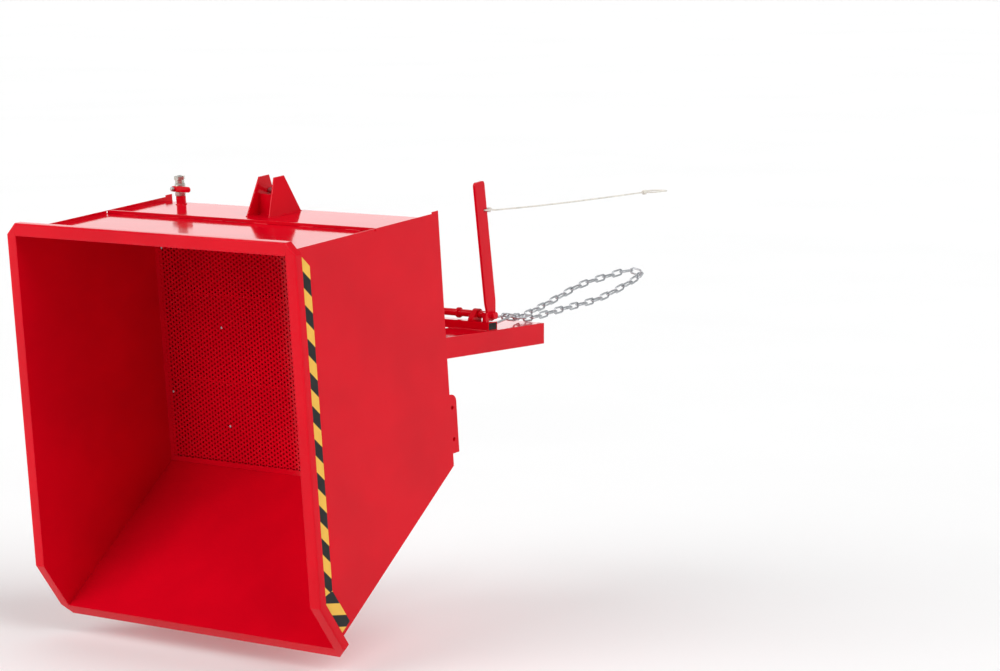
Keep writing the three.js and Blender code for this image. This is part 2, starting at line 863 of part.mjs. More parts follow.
// Fork frame. The forks' top faces meet the pockets' roofs at height 0.
const pocketTop = pocketWall;
const pocketBottom = pocketTop - pocketHeight;
const pocketOuter = frameWidth / 2;
const pocketInner = pocketOuter - pocketWidth;
const hingePlace = pocketInner - hingeFromPocket;
const bearingPlace = pocketOuter - bearingFromSide;
const collarPlace = pocketOuter - collarFromSide;
const leverPlace = pocketOuter - leverFromSide;
const chainEyePlace = pocketOuter - chainEyeFromSide;
const hinge = point(hingeFromRear, pocketTop + hingeRise);
const dumpTilt = dumpAngle - Math.PI / 2;
const pocketFront = hinge.x + (hingeDrop - runningClearance + (pocketBottom - hinge.y) * Math.sin(dumpTilt))
  / Math.cos(dumpTilt);

function forkPocket(sign) {
  const [y0, y1] = span(sign, pocketInner, pocketOuter);
  const shape = outline(rectangle(y0, pocketBottom, y1, pocketTop),
    [rectangle(y0 + pocketWall, pocketBottom + pocketWall, y1 - pocketWall, pocketTop - pocketWall)]);
  return along(shape, 0, pocketFront);
}

function squareTube(x0, x1, z0, z1, half) {
  const shape = outline(rectangle(x0, z0, x1, z1),
    [rectangle(x0 + beamWall, z0 + beamWall, x1 - beamWall, z1 - beamWall)]);
  return across(shape, -half, half);
}

const rearTubeX0 = rearTubeFromRear - rearTubeDepth / 2;
const rearTubeX1 = rearTubeFromRear + rearTubeDepth / 2;
const rearTubeZ0 = pocketTop + gap;
const rearTubeZ1 = rearTubeZ0 + rearTubeHeight;
const restBeamX0 = hinge.x - restBeamFromHinge - beamSize / 2;
const restBeamZ0 = pocketTop + gap;
const clevisFront = hinge.x - lugRadius - clevisSlack;
const clevisRear = clevisFront - clevisFoot;
const frontBeamX1 = clevisRear - gap;

// Rubber pads fill what is left between the rest beam and the hopper's floor
function restPad(sign) {
  const foot = restBeamZ0 + beamSize + gap;
  const top = hinge.y + hingeDrop - gap;
  const middle = restBeamX0 + beamSize / 2;
  const end = pocketOuter - restPadFromEnd;
  const [y0, y1] = span(sign, end - restPadLength, end);
  return block(middle - restPadWidth / 2, middle + restPadWidth / 2, y0, y1, foot, top);
}

const earInner = lugThickness / 2 + clevisSlack;
const earOuter = earInner + clevisWall;

function hingeClevis(sign) {
  const middle = sign * hingePlace;
  const earShape = outline(hull([
    ...circle(hinge, clevisRadius),
    point(clevisRear, pocketTop - beamSize),
    point(clevisRear, pocketTop),
  ]), [circle(hinge, hingePinRadius + gap)]);
  const ears = [-1, 1].map((side) => across(earShape, ...span(side, earInner, earOuter)));
  const base = block(clevisRear, clevisFront, -earOuter, earOuter, pocketTop - beamSize, pocketTop);
  const solid = join(base, ...ears);
  solid.translate(0, middle, 0);
  return solid;
}

// A pin built about y, its head on the side away from the centre and a split pin through its tail
const pinEnd = earOuter + 2 * gap + washerThickness + pinTail;
const splitPinPlace = earOuter + 2 * gap + washerThickness + splitPinRadius;

function hingePin(sign) {
  const half = splitPinLength / 2;
  const [y0, y1] = span(sign, -pinEnd, earOuter + gap);
  const shank = roundBar(hinge.x, hinge.y, hingePinRadius, y0, y1);
  const head = roundBar(hinge.x, hinge.y, pinHeadRadius,
    ...span(sign, earOuter + gap, earOuter + gap + pinHeadHeight));
  const splitPin = turned([
    point(0, -half),
    point(splitPinRadius, -half),
    point(splitPinRadius, half),
    point(0, half),
  ], 2 * arcSteps);
  splitPin.translate(hinge.x, -sign * splitPinPlace, hinge.y);
  const solid = join(shank, head, splitPin);
  solid.translate(0, sign * hingePlace, 0);
  return solid;
}

function hingeWasher(sign) {
  const shape = outline(circle(hinge, pinHeadRadius), [circle(hinge, hingePinRadius + gap)]);
  const [y0, y1] = span(-sign, earOuter + gap, earOuter + gap + washerThickness);
  return across(shape, sign * hingePlace + y0, sign * hingePlace + y1);
}

// Latch: one shaft carries the hand lever and the hook
const shaft = point(shaftFromRear, rearTubeZ1 + shaftRise);
const leverAlong = point(Math.sin(leverLean), Math.cos(leverLean));
const leverAcross = point(Math.cos(leverLean), -Math.sin(leverLean));

// A point of the lever: its height along the lever and its place across, forwards
function onLever(height, forward) {
  return shaft.clone().addScaledVector(leverAlong, height).addScaledVector(leverAcross, forward);
}

function bearing(sign) {
  const outer = shaftRadius + runningClearance + bearingWall;
  const base = [rearTubeX0, rearTubeX1].flatMap((x) => [
    point(x, rearTubeZ1 + gap),
    point(x, rearTubeZ1 + gap + bearingFoot),
  ]);
  const bore = circle(shaft, shaftRadius + runningClearance);
  const shape = outline(hull([...circle(shaft, outer), ...base]), [bore]);
  const middle = sign * bearingPlace;
  return across(shape, middle - bearingThickness / 2, middle + bearingThickness / 2);
}

// The stop's rear face follows the lever's front edge
function leverStop() {
  const low = onLever(0, hubRadius);
  const high = onLever(leverShoulder, leverWidth / 2);
  const top = rearTubeZ1 + gap + stopHeight;
  const edgeAt = (z) => low.x + (high.x - low.x) * (z - low.y) / (high.y - low.y) + gap;
  const shape = outline([
    point(edgeAt(low.y), rearTubeZ1 + gap),
    point(rearTubeX1, rearTubeZ1 + gap),
    point(rearTubeX1, top),
    point(edgeAt(top), top),
    point(edgeAt(low.y), low.y),
  ]);
  return across(shape, leverPlace - stopThickness / 2, leverPlace + stopThickness / 2);
}

function ropeHole() {
  return onLever(ropeHoleFromShaft, ropeHoleFromEdge - leverWidth / 2);
}

function lever() {
  const half = leverWidth / 2;
  const hub = arc(shaft, hubRadius, -leverLean, -leverLean - Math.PI, 2 * arcSteps).reverse();
  const topCorner = (side) => onLever(leverLength - leverTopRadius, side * (half - leverTopRadius));
  const shape = outline([
    ...hub,
    onLever(leverShoulder, half),
    ...arc(topCorner(1), leverTopRadius, -leverLean, Math.PI / 2 - leverLean, arcSteps / 2),
    ...arc(topCorner(-1), leverTopRadius, Math.PI / 2 - leverLean, Math.PI - leverLean, arcSteps / 2),
    onLever(leverShoulder, -half),
  ], [
    circle(shaft, shaftRadius + gap),
    circle(ropeHole(), ropeHoleRadius, 2 * arcSteps),
  ]);
  return across(shape, leverPlace - leverThickness / 2, leverPlace + leverThickness / 2);
}

// The catch pin's place with the hopper upright, seen from the shaft
const catchPinUpright = point(
  hinge.x - hingeSetback - catchPinReach - shaft.x,
  hinge.y + hingeDrop + catchPinHeight - shaft.y,
);

// The hook's nose lies over the pin on an arc about the shaft; a slope in front lets the pin push it back
function latchHook() {
  const pinAngle = catchPinUpright.angle();
  const throat = catchPinUpright.length() + catchPinRadius + hookSlack;
  const at = (radius, angle) => point(radius * Math.cos(angle), radius * Math.sin(angle)).add(shaft);
  const tip = pinAngle - hookNoseCover;
  const armFront = pinAngle + hookArmAngle;
  const crown = armFront + hookCrownAngle;
  const shape = outline([
    ...arc(shaft, hubRadius, armFront - Math.PI / 2, crown - 1.5 * Math.PI, 2 * arcSteps).reverse(),
    ...arc(shaft, throat, armFront, tip, hookCrownSteps),
    at(throat + hookNoseDepth, tip),
    ...arc(shaft, throat + hookCrown, armFront, crown, hookCrownSteps),
  ], [
    circle(shaft, shaftRadius + gap),
    circle(at(springArmReach, crown), springWire + gap, 2 * arcSteps),
  ]);
  return across(shape, -hookThickness / 2, hookThickness / 2);
}

// The least distance between the surfaces of turns of one wire, measured on its points
function leastGap(path, radius, turnPoints) {
  let least = Infinity;
  for (let i = 0; i < path.length; i += 1) {
    for (let j = i + Math.floor(turnPoints / 2); j < path.length; j += 1) {
      least = Math.min(least, path[i].distanceTo(path[j]) - 2 * radius);
    }
  }
  return least;
}

// Torsion spring beside the hook: one end sits in the hook's hole, the other rests on the rear tube
function latchSpring() {
  const coilRadius = springInside + springWire;
  const armAngle = catchPinUpright.angle() + hookArmAngle + hookCrownAngle;
  const firstAngle = armAngle + Math.acos(coilRadius / springArmReach);
  const lastAngle = 1.5 * Math.PI + springCoils * 2 * Math.PI;
  const firstPlace = hookThickness / 2 + gap + springWire;
  const at = (radius, angle, y) => new THREE.Vector3(
    shaft.x + radius * Math.cos(angle), y, shaft.y + radius * Math.sin(angle));
  const path = [
    at(springArmReach, armAngle, 0),
    at(springArmReach, armAngle, firstPlace - springWire),
    at(springArmReach - springWire, armAngle, firstPlace),
  ];
  const steps = Math.round(springSteps * (lastAngle - firstAngle) / (2 * Math.PI));
  for (let i = 0; i <= steps; i += 1) {
    const angle = firstAngle + (lastAngle - firstAngle) * i / steps;
    const turns = (angle - firstAngle) / (2 * Math.PI);
    path.push(at(coilRadius, angle, firstPlace + springPitch * turns));
  }
  console.log(`latch spring: least gap ${leastGap(path, springWire, springSteps).toFixed(2)} mm`);
  path.push(new THREE.Vector3(shaft.x + springFootReach, path.at(-1).y, rearTubeZ1 + gap + springWire));
  return wire(path, springWire, springSides);
}

function collar(sign) {
  const shape = outline(circle(shaft, collarRadius), [circle(shaft, shaftRadius + gap)]);
  return across(shape, sign * collarPlace - collarWidth / 2, sign * collarPlace + collarWidth / 2);
}

function makeFrame(parent) {
  for (const [side, sign] of sides) {
    piece(parent, `fork_pocket_${side}`, forkPocket(sign), red);
    piece(parent, `rest_pad_${side}`, restPad(sign), rubber);
    piece(parent, `hinge_clevis_${side}`, hingeClevis(sign), red);
    piece(parent, `hinge_pin_${side}`, hingePin(sign), zinc);
    piece(parent, `hinge_washer_${side}`, hingeWasher(sign), zinc);
    piece(parent, `shaft_bearing_${side}`, bearing(sign), red);
  }
  piece(parent, 'rear_tube', squareTube(rearTubeX0, rearTubeX1, rearTubeZ0, rearTubeZ1, pocketOuter), red);
  piece(parent, 'rest_beam', squareTube(restBeamX0, restBeamX0 + beamSize,
    restBeamZ0, restBeamZ0 + beamSize, pocketOuter), red);
  piece(parent, 'front_beam', squareTube(frontBeamX1 - beamSize, frontBeamX1,
    pocketTop - beamSize, pocketTop, pocketInner - gap), red);
  piece(parent, 'lever_stop', leverStop(), red);
}

function makeLatch(parent) {
  piece(parent, 'latch_shaft', roundBar(shaft.x, shaft.y, shaftRadius, shaftSetIn - pocketOuter,
    pocketOuter + shaftOverhang), red);
  piece(parent, 'shaft_collar_left', collar(1), red);
  piece(parent, 'shaft_collar_right', collar(-1), red);
  piece(parent, 'latch_hook', latchHook(), red);
  piece(parent, 'latch_spring', latchSpring(), zinc);
  piece(parent, 'hand_lever', lever(), red);
}

// Safety chain, joined to the frame by a spring hook
const chainEye = point(rearTubeX0 - gap - chainEyeReach + chainEyeRadius, pocketTop + gap + chainEyeRadius);
const hookBend = springHookWidth / 2 - springHookWire;
const hookStraight = springHookLength / 2 - springHookWidth / 2;
const hookNearEnd = hookBend + hookStraight;

function eyePlate() {
  const face = rearTubeX0 - gap;
  const shape = outline(hull([
    ...circle(chainEye, chainEyeRadius),
    point(face, chainEye.y - chainEyeRadius),
    point(face, chainEye.y + chainEyeRadius),
  ]), [circle(chainEye, chainEyeHoleRadius)]);
  return across(shape, chainEyePlace - chainEyeThickness / 2, chainEyePlace + chainEyeThickness / 2);
}

// The spring hook's frame: x points back along the hook to the eye, y to the left
function springHookFrame() {
  const wireX = chainEye.x - (chainEyeHoleRadius - springHookWire - springHookSlack);
  return new THREE.Matrix4()
    .makeTranslation(wireX, chainEyePlace, chainEye.y)
    .multiply(new THREE.Matrix4().makeRotationY(springHookTilt))
    .multiply(new THREE.Matrix4().makeTranslation(-hookNearEnd, 0, 0));
}

// The hook's wire is an oval, open where the gate closes it
function springHook() {
  const path = [
    point(gateLength / 2, -hookBend),
    ...arc(point(hookStraight, 0), hookBend, -Math.PI / 2, Math.PI / 2, springHookSteps),
    ...arc(point(-hookStraight, 0), hookBend, Math.PI / 2, 1.5 * Math.PI, springHookSteps),
    point(-gateLength / 2, -hookBend),
  ].map((p) => new THREE.Vector3(p.x, p.y, 0));
  const hook = wire(path, springHookWire, springHookSides, false, new THREE.Vector3(0, 0, 1));
  hook.applyMatrix4(springHookFrame());
  return hook;
}

// A round bar with a ball end at its pivot
function springGate() {
  const length = gateLength - 2 * gap;
  const pivot = length / 2 - gateWire;
  const gate = turned([
    point(0, -length / 2),
    point(gateWire, -length / 2),
    ...arc(point(0, pivot), gateWire, 0, Math.PI / 2),
  ], 2 * arcSteps);
  gate.rotateY(Math.PI / 2);
  gate.translate(0, -hookBend, 0);
  gate.applyMatrix4(springHookFrame());
  return gate;
}

// One link between two joints of the chain; flat lies across its wide side
function chainLink(from, to, upright) {
  const forward = new THREE.Vector3().subVectors(to, from);
  const reach = forward.length() / 2 + chainWire - chainBite / 2;
  forward.normalize();
  const level = new THREE.Vector3().crossVectors(new THREE.Vector3(0, 0, 1), forward).normalize();
  const raised = new THREE.Vector3().crossVectors(forward, level);
  const wide = upright ? raised : level;
  const flat = upright ? level : raised;
  const bend = chainWidth / 2 - chainWire;
  const centre = new THREE.Vector3().addVectors(from, to).divideScalar(2);
  const path = [1, -1].flatMap((end) => arc(point(end * (reach - bend), 0), bend,
    -end * Math.PI / 2, Math.PI - end * Math.PI / 2, chainBendSteps));
  return wire(path.map((p) => centre.clone().addScaledVector(forward, p.x).addScaledVector(wide, p.y)),
    chainWire, chainSides, true, flat);
}

// The chain's route from the spring hook back round a carriage's bar and to the hook again,
// its y counted from the eye plate
const chainRoute = [
  [100, 12, 29], [12, 10, 22], [-100, 4, 29], [-207, -2, 36], [-429, -10, 52], [-600, -12, 88],
  [-690, -16, 112], [-735, -36, 124], [-738, -62, 130], [-700, -80, 130], [-600, -90, 118], [-450, -97, 100],
  [-261, -90, 58], [-140, -72, 38], [0, -48, 22], [90, -26, 30],
].map(([x, y, z]) => new THREE.Vector3(x, chainEyePlace + y, z));

function safetyChain() {
  const half = chainStrandSpacing / 2;
  const depth = Math.sqrt(hookBend ** 2 - half ** 2);
  const clear = (springHookWire + chainWire + chainSlack) * hookBend / depth;
  const endX = -hookStraight - depth + clear - chainWire + chainBite / 2;
  const [start, end] = [half, -half].map((y) => (
    new THREE.Vector3(endX, y, 0).applyMatrix4(springHookFrame())));
  const curve = new THREE.CatmullRomCurve3([start, ...chainRoute, end], false, 'centripetal');
  const count = 2 * Math.floor(curve.getLength() / chainPitch / 2) + 1;
  const joints = curve.getSpacedPoints(count);
  const links = joints.slice(1).map((joint, i) => chainLink(joints[i], joint, i % 2 === 0));
  return join(...links);
}

function makeChain(parent) {
  piece(parent, 'chain_eye', eyePlate(), red);
  piece(parent, 'spring_hook', springHook(), zinc);
  piece(parent, 'spring_hook_gate', springGate(), zinc);
  piece(parent, 'safety_chain', safetyChain(), zinc);
}

// Pull rope, tied round the lever's rear edge and ending in a hand loop
const knotFront = ropeHole().x - (ropeHoleFromEdge + ropeRadius + gap) / Math.cos(leverLean);
const ropeRoute = [
  [270, 429.4], [200, 428.4], [130, 427.8], [60, 427.6], [-10, 427.6], [-80, 427.9],
  [-150, 428.4], [-220, 429.1], [-290, 430], [-360, 431], [-430, 432.1], [-500, 433.3],
  [-570, 434.7], [-640, 436.2],
].map(([x, z]) => new THREE.Vector3(x, leverPlace, z));

// A knot about x, widest in its middle, with flat ends as wide as the rope
function knot(x0, y, z) {
  const profile = [point(0, 0)];
  for (let i = 0; i <= knotSteps; i += 1) {
    const angle = Math.PI * i / knotSteps;
    const radius = ropeRadius + (knotRadius - ropeRadius) * Math.sin(angle);
    profile.push(point(radius, knotLength * i / knotSteps));
  }
  profile.push(point(0, knotLength));
  const solid = turned(profile, 2 * arcSteps);
  solid.rotateY(Math.PI / 2);
  solid.translate(x0, y, z);
  return solid;
}

// A closed loop of rope, level, with its middle at a point
function ropeRing(x, y, z, length, width, bend) {
  const corners = [[1, -1], [1, 1], [-1, 1], [-1, -1]];
  const path = corners.flatMap(([sx, sy], i) => arc(
    point(sx * (length / 2 - bend), sy * (width / 2 - bend)), bend,
    (i - 1) * Math.PI / 2, i * Math.PI / 2, loopSteps));
  return wire(path.map((p) => new THREE.Vector3(x + p.x, y + p.y, z)), ropeRadius, ropeSides, true,
    new THREE.Vector3(0, 0, 1));
}

function ropeKnot() {
  const hole = ropeHole();
  const length = hole.x - knotFront;
  const width = leverThickness + 2 * (ropeRadius + gap) + ropeRadius;
  return join(
    ropeRing(hole.x - length / 2, leverPlace, hole.y, length, width, ropeBend),
    knot(knotFront - knotLength, leverPlace, hole.y),
  );
}

function pullRope() {
  const hole = ropeHole();
  const start = new THREE.Vector3(knotFront - knotLength - 2 * gap, leverPlace, hole.y);
  const curve = new THREE.CatmullRomCurve3([start, ...ropeRoute], false, 'centripetal');
  console.log(`pull rope: ${curve.getLength().toFixed(0)} mm`);
  return wire(curve.getSpacedPoints(ropeSteps), ropeRadius, ropeSides);
}

function ropeHandLoop() {
  const end = ropeRoute.at(-1);
  const foot = end.x - 2 * gap - knotLength;
  return join(
    knot(foot, end.y, end.z),
    ropeRing(foot + ropeRadius - handLoopLength / 2, end.y, end.z, handLoopLength, handLoopWidth,
      handLoopWidth / 2 - ropeRadius),
  );
}

function makeRope(parent) {
  piece(parent, 'rope_knot', ropeKnot(), ropeWhite);
  piece(parent, 'pull_rope', pullRope(), ropeWhite);
  piece(parent, 'rope_hand_loop', ropeHandLoop(), ropeWhite);
}

// The shell turns about the hinge; at rest it is tipped right over
function makeHopper(parent) {
  const tipping = new THREE.Group();
  tipping.position.set(hinge.x, 0, hinge.y);
  tipping.rotation.y = dumpAngle;
  parent.add(tipping);
  const shell = new THREE.Group();
  shell.position.set(-hingeSetback, 0, hingeDrop);
  tipping.add(shell);
  makeShell(shell);
  makeValve(shell);
}

const dumpingHopper = new THREE.Group();
makeFrame(dumpingHopper);
makeLatch(dumpingHopper);
makeChain(dumpingHopper);
makeRope(dumpingHopper);
makeHopper(dumpingHopper);

export default dumpingHopper;
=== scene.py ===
"""Finishes of a self dumping hopper: powder coat, perforated sieve, fittings, chain and rope."""

import json
import math

import bmesh
import bpy
from mathutils import Matrix, Vector


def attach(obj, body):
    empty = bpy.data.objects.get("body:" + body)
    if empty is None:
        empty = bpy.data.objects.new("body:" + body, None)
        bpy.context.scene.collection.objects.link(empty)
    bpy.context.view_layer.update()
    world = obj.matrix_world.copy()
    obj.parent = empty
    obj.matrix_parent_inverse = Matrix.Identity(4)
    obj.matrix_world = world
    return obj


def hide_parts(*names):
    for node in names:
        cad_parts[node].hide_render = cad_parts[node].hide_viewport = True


bl_info = {
    "name": "Self Dumping Hopper",
    "version": (1, 0, 0),
    "blender": (4, 5, 0),
    "location": "View3D > Sidebar > Hopper",
    "description": "Finishes and fine parts of a fork-mounted self dumping hopper",
    "category": "Object",
}

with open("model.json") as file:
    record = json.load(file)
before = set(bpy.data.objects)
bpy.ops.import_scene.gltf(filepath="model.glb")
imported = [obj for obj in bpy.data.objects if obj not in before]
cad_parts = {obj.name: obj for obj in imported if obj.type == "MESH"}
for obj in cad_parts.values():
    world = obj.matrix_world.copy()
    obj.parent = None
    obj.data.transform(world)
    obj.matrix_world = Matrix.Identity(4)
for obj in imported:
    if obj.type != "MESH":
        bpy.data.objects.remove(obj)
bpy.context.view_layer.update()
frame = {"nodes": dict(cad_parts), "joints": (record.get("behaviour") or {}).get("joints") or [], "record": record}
MM = 0.001

# The tipping hinge, as the frame states it, and the shell's place about it
TIP = next(joint for joint in frame["joints"] if joint["name"] == "hopper_tip")
DUMP_ANGLE = math.radians(max(TIP["range_deg"]))
HINGE = Vector(TIP["pos_m"])
HINGE_SETBACK = 452 * MM
HINGE_DROP = 28 * MM
SHELL = (
    Matrix.Translation(HINGE)
    @ Matrix.Rotation(DUMP_ANGLE, 4, "Y")
    @ Matrix.Translation((-HINGE_SETBACK, 0, HINGE_DROP))
)

# The shell in its upright position
HALF_WIDTH = 600 * MM
SHEET = 3 * MM
GAP = 0.3 * MM
FLOOR_LENGTH = 852 * MM
MOUTH_HEIGHT = 775 * MM
SLOPE_ANGLE = math.radians(55.5)
LIP_DROP = 102.5 * MM
LIP_ANGLE = math.radians(32)
REAR_BEND = 50 * MM
SLOPE_RUN = Vector((math.cos(SLOPE_ANGLE), math.sin(SLOPE_ANGLE)))
SLOPE_INWARD = Vector((-math.sin(SLOPE_ANGLE), math.cos(SLOPE_ANGLE)))
FACET_RUN = Vector((math.cos(LIP_ANGLE), -math.sin(LIP_ANGLE)))
FACET_NORMAL = Vector((math.sin(LIP_ANGLE), math.cos(LIP_ANGLE)))
LIP = Vector((FLOOR_LENGTH, 0)) + SLOPE_RUN * ((MOUTH_HEIGHT - LIP_DROP) / SLOPE_RUN.y)
KINK = Vector((LIP.x - (MOUTH_HEIGHT - LIP.y) / math.tan(LIP_ANGLE), MOUTH_HEIGHT))
MITRE = (FACET_NORMAL + Vector((0, 1))) / (1 + FACET_NORMAL.y)
# Half the clear width between the side panels, and the drain's place in the rear wall
INNER_HALF = HALF_WIDTH - SHEET - GAP
DRAIN = Vector((0, -476, 85)) * MM

# Places on the fork frame and its latch, whose axes are the scene's own
SHAFT = Vector((288, 0, 57.3)) * MM
TUBE_TOP = 35.3 * MM
LEVER_PLACE = 300 * MM
LEVER_THICKNESS = 10 * MM
LEVER_LEAN = math.radians(8.7)
ROPE_HOLE = Vector((330.69, 300, 432.16)) * MM
CHAIN_EYE = Vector((262.7, 262, 20.3)) * MM


# Faces that meet at more than SHARP show an edge; vertices nearer than MERGE are one
SHARP = math.radians(32)
MERGE = 1e-6


def spatial(point, y=0.0):
    """A point of the shell's profile, at a place across the shell."""
    return Vector((point[0], y, point[1]))


class HopperFinish(bpy.types.PropertyGroup):
    """Colours of the finishes."""

    paint: bpy.props.FloatVectorProperty(
        name="Powder coat", description="Colour of the powder coat", subtype="COLOR_GAMMA",
        size=3, min=0, max=1, default=(0xD6 / 255, 0x03 / 255, 0x1C / 255))
    stripe: bpy.props.FloatVectorProperty(
        name="Stripe", description="Light colour of the hazard tape", subtype="COLOR_GAMMA",
        size=3, min=0, max=1, default=(0xE9 / 255, 0xB8 / 255, 0x4A / 255))
    rope: bpy.props.FloatVectorProperty(
        name="Rope", description="Colour of the pull rope", subtype="COLOR_GAMMA",
        size=3, min=0, max=1, default=(0xE8 / 255, 0xE4 / 255, 0xDA / 255))


class HopperSizes(bpy.types.PropertyGroup):
    """Sizes of the fine parts."""

    edge: bpy.props.FloatProperty(
        name="Edge rounding", description="Rounding of cut and sawn edges",
        default=0.8 * MM, min=0, unit="LENGTH")
    # The real holes are about 10 mm apart. That is too fine to show in the render, so they are
    # drawn coarser.
    hole_pitch: bpy.props.FloatProperty(
        name="Sieve pitch", description="Distance between the sieve's holes",
        default=16 * MM, min=6 * MM, unit="LENGTH")
    hole_share: bpy.props.FloatProperty(
        name="Open share", description="Width of a hole as a share of the pitch",
        default=0.52, min=0.2, max=0.8, subtype="FACTOR")
    stripe_pitch: bpy.props.FloatProperty(
        name="Stripe pitch", description="From one yellow stripe to the next along the tape",
        default=109 * MM, min=20 * MM, unit="LENGTH")
    weld: bpy.props.FloatProperty(
        name="Weld size", description="Radius of the weld beads",
        default=2.5 * MM, min=0.5 * MM, unit="LENGTH")


def linear(colour):
    """An sRGB colour, a hex string or three shares, turned to linear light."""
    if isinstance(colour, str):
        colour = [int(colour[i:i + 2], 16) / 255 for i in (1, 3, 5)]
    return [c / 12.92 if c <= 0.04045 else ((c + 0.055) / 1.055) ** 2.4 for c in colour] + [1.0]


def dimmed(colour, share):
    """A colour taken down to a share of its light."""
    return [c * share for c in colour[:3]] + [1.0]


def grey(level):
    """A grey, for a ramp that feeds a plain number or the room's light."""
    return [level] * 3 + [1.0]


def add(tree, kind, settings=None, **links):
    """Adds a node with its settings, and links its named inputs."""
    node = tree.nodes.new(kind)
    for key, value in (settings or {}).items():
        if hasattr(node, key):
            setattr(node, key, value)
        else:
            node.inputs[key].default_value = value
    for key, source in links.items():
        place = int(key[1:]) if key[0] == "i" and key[1:].isdigit() else key
        tree.links.new(source, node.inputs[place])
    return node


def new_material(name, **sockets):
    """A Principled material with plain values on its sockets, and its Object coordinates."""
    material = bpy.data.materials.new(name)
    material.use_nodes = True
    tree = material.node_tree
    shader = tree.nodes["Principled BSDF"]
    for key, value in sockets.items():
        shader.inputs[key.replace("_", " ")].default_value = value
    return material, tree, shader.inputs, add(tree, "ShaderNodeTexCoord").outputs["Object"]


def ramp(tree, source, *stops):
    """A colour ramp with its stops given as place and colour."""
    node = add(tree, "ShaderNodeValToRGB", Fac=source)
    elements = node.color_ramp.elements
    while len(elements) < len(stops):
        elements.new(0.5)
    for element, (place, colour) in zip(elements, stops):
        element.position = place
        element.color = colour
    return node.outputs["Color"]


def noise(tree, coordinates, size, detail=3.0, rough=0.5):
    """Noise whose features are about as wide as a real size."""
    node = add(tree, "ShaderNodeTexNoise",
               {"Scale": 1 / size, "Detail": detail, "Roughness": rough}, Vector=coordinates)
    return node.outputs["Fac"]


def feed(tree, socket, source, *stops):
    """Feeds a socket from a ramp."""
    tree.links.new(ramp(tree, source, *stops), socket)


def bump(tree, inputs, height, strength, depth):
    """Bumps the shader's normal by a height, on top of what bumps it already."""
    under = [link.from_socket for link in inputs["Normal"].links]
    node = add(tree, "ShaderNodeBump", {"Strength": strength, "Distance": depth}, Height=height)
    for source in under:
        tree.links.new(source, node.inputs["Normal"])
    tree.links.new(node.outputs["Normal"], inputs["Normal"])


def powder_coat(context):
    """Glossy polyester powder coat on sheet steel that welding has drawn a little."""
    material, tree, inputs, place = new_material(
        "Red gloss powder coat", IOR=1.5, Specular_IOR_Level=0.15)
    base = linear(context.scene.hopper_finish.paint)
    feed(tree, inputs["Base Color"], noise(tree, place, 260 * MM, 2.0),
         (0.35, dimmed(base, 0.9)), (0.65, base))
    # Handling leaves the gloss slightly uneven
    feed(tree, inputs["Roughness"], noise(tree, place, 90 * MM, 6.0, 0.65),
         (0.35, grey(0.07)), (0.75, grey(0.13)))
    # Orange peel is about 3 mm across, and the sheets bulge over about a third of a metre
    bump(tree, inputs, noise(tree, place, 3 * MM, 1.0), 0.12, 0.05 * MM)
    bump(tree, inputs, noise(tree, place, 330 * MM, 0.0), 0.35, 3 * MM)
    return material


def zinc_plate(context, name="Bright zinc plate", colour="#C6C9CC", rough=0.3):
    """Electroplated zinc on steel: bright, cool, and faintly blotched."""
    material, tree, inputs, place = new_material(name, Metallic=1.0)
    base = linear(colour)
    blotch = noise(tree, place, 9 * MM, 4.0, 0.6)
    feed(tree, inputs["Base Color"], blotch, (0.3, dimmed(base, 0.72)), (0.6, base))
    feed(tree, inputs["Roughness"], blotch, (0.3, grey(rough + 0.2)), (0.7, grey(rough)))
    bump(tree, inputs, noise(tree, place, 1.5 * MM, 2.0), 0.15, 0.1 * MM)
    return material


def nickel_plate(context):
    """Nickel-plated brass, pressed and turned: warm silver, smooth."""
    return zinc_plate(context, "Nickel-plated brass", "#D2CFC6", 0.18)


def moulded_rubber(context):
    """Moulded rubber: near black, dull, with a fine grain."""
    material, tree, inputs, place = new_material(
        "Moulded rubber", Roughness=0.75, Specular_IOR_Level=0.25)
    feed(tree, inputs["Base Color"], noise(tree, place, 20 * MM, 4.0),
         (0.3, linear("#141414")), (0.8, linear("#2A2927")))
    bump(tree, inputs, noise(tree, place, 2 * MM, 2.0), 0.4, 0.3 * MM)
    return material


def hazard_film(context):
    """Printed vinyl film: slanted black and yellow stripes that follow the tape."""
    material, tree, inputs, place = new_material(
        "Hazard tape film", Roughness=0.38, Specular_IOR_Level=0.25)
    uv = add(tree, "ShaderNodeUVMap", {"uv_map": "along"}).outputs["UV"]
    parts = add(tree, "ShaderNodeSeparateXYZ", Vector=uv)
    slant = add(tree, "ShaderNodeMath", {"operation": "ADD"},
                i0=parts.outputs["X"], i1=parts.outputs["Y"]).outputs[0]
    wave = add(tree, "ShaderNodeMath", {"operation": "FRACT"}, i0=slant).outputs[0]
    fade = noise(tree, place, 40 * MM, 3.0)
    yellow = linear(context.scene.hopper_finish.stripe)
    light = ramp(tree, fade, (0.3, yellow), (0.7, [min(1.0, c * 1.08) for c in yellow]))
    dark = ramp(tree, fade, (0.3, linear("#121414")), (0.7, linear("#1C1F1F")))
    edge = ramp(tree, wave, (0.495, grey(0)), (0.505, grey(1)))
    mix = add(tree, "ShaderNodeMix", {"data_type": "RGBA"}, i0=edge, i6=dark, i7=light)
    tree.links.new(mix.outputs[2], inputs["Base Color"])
    bump(tree, inputs, noise(tree, place, 6 * MM, 2.0), 0.1, 0.1 * MM)
    return material


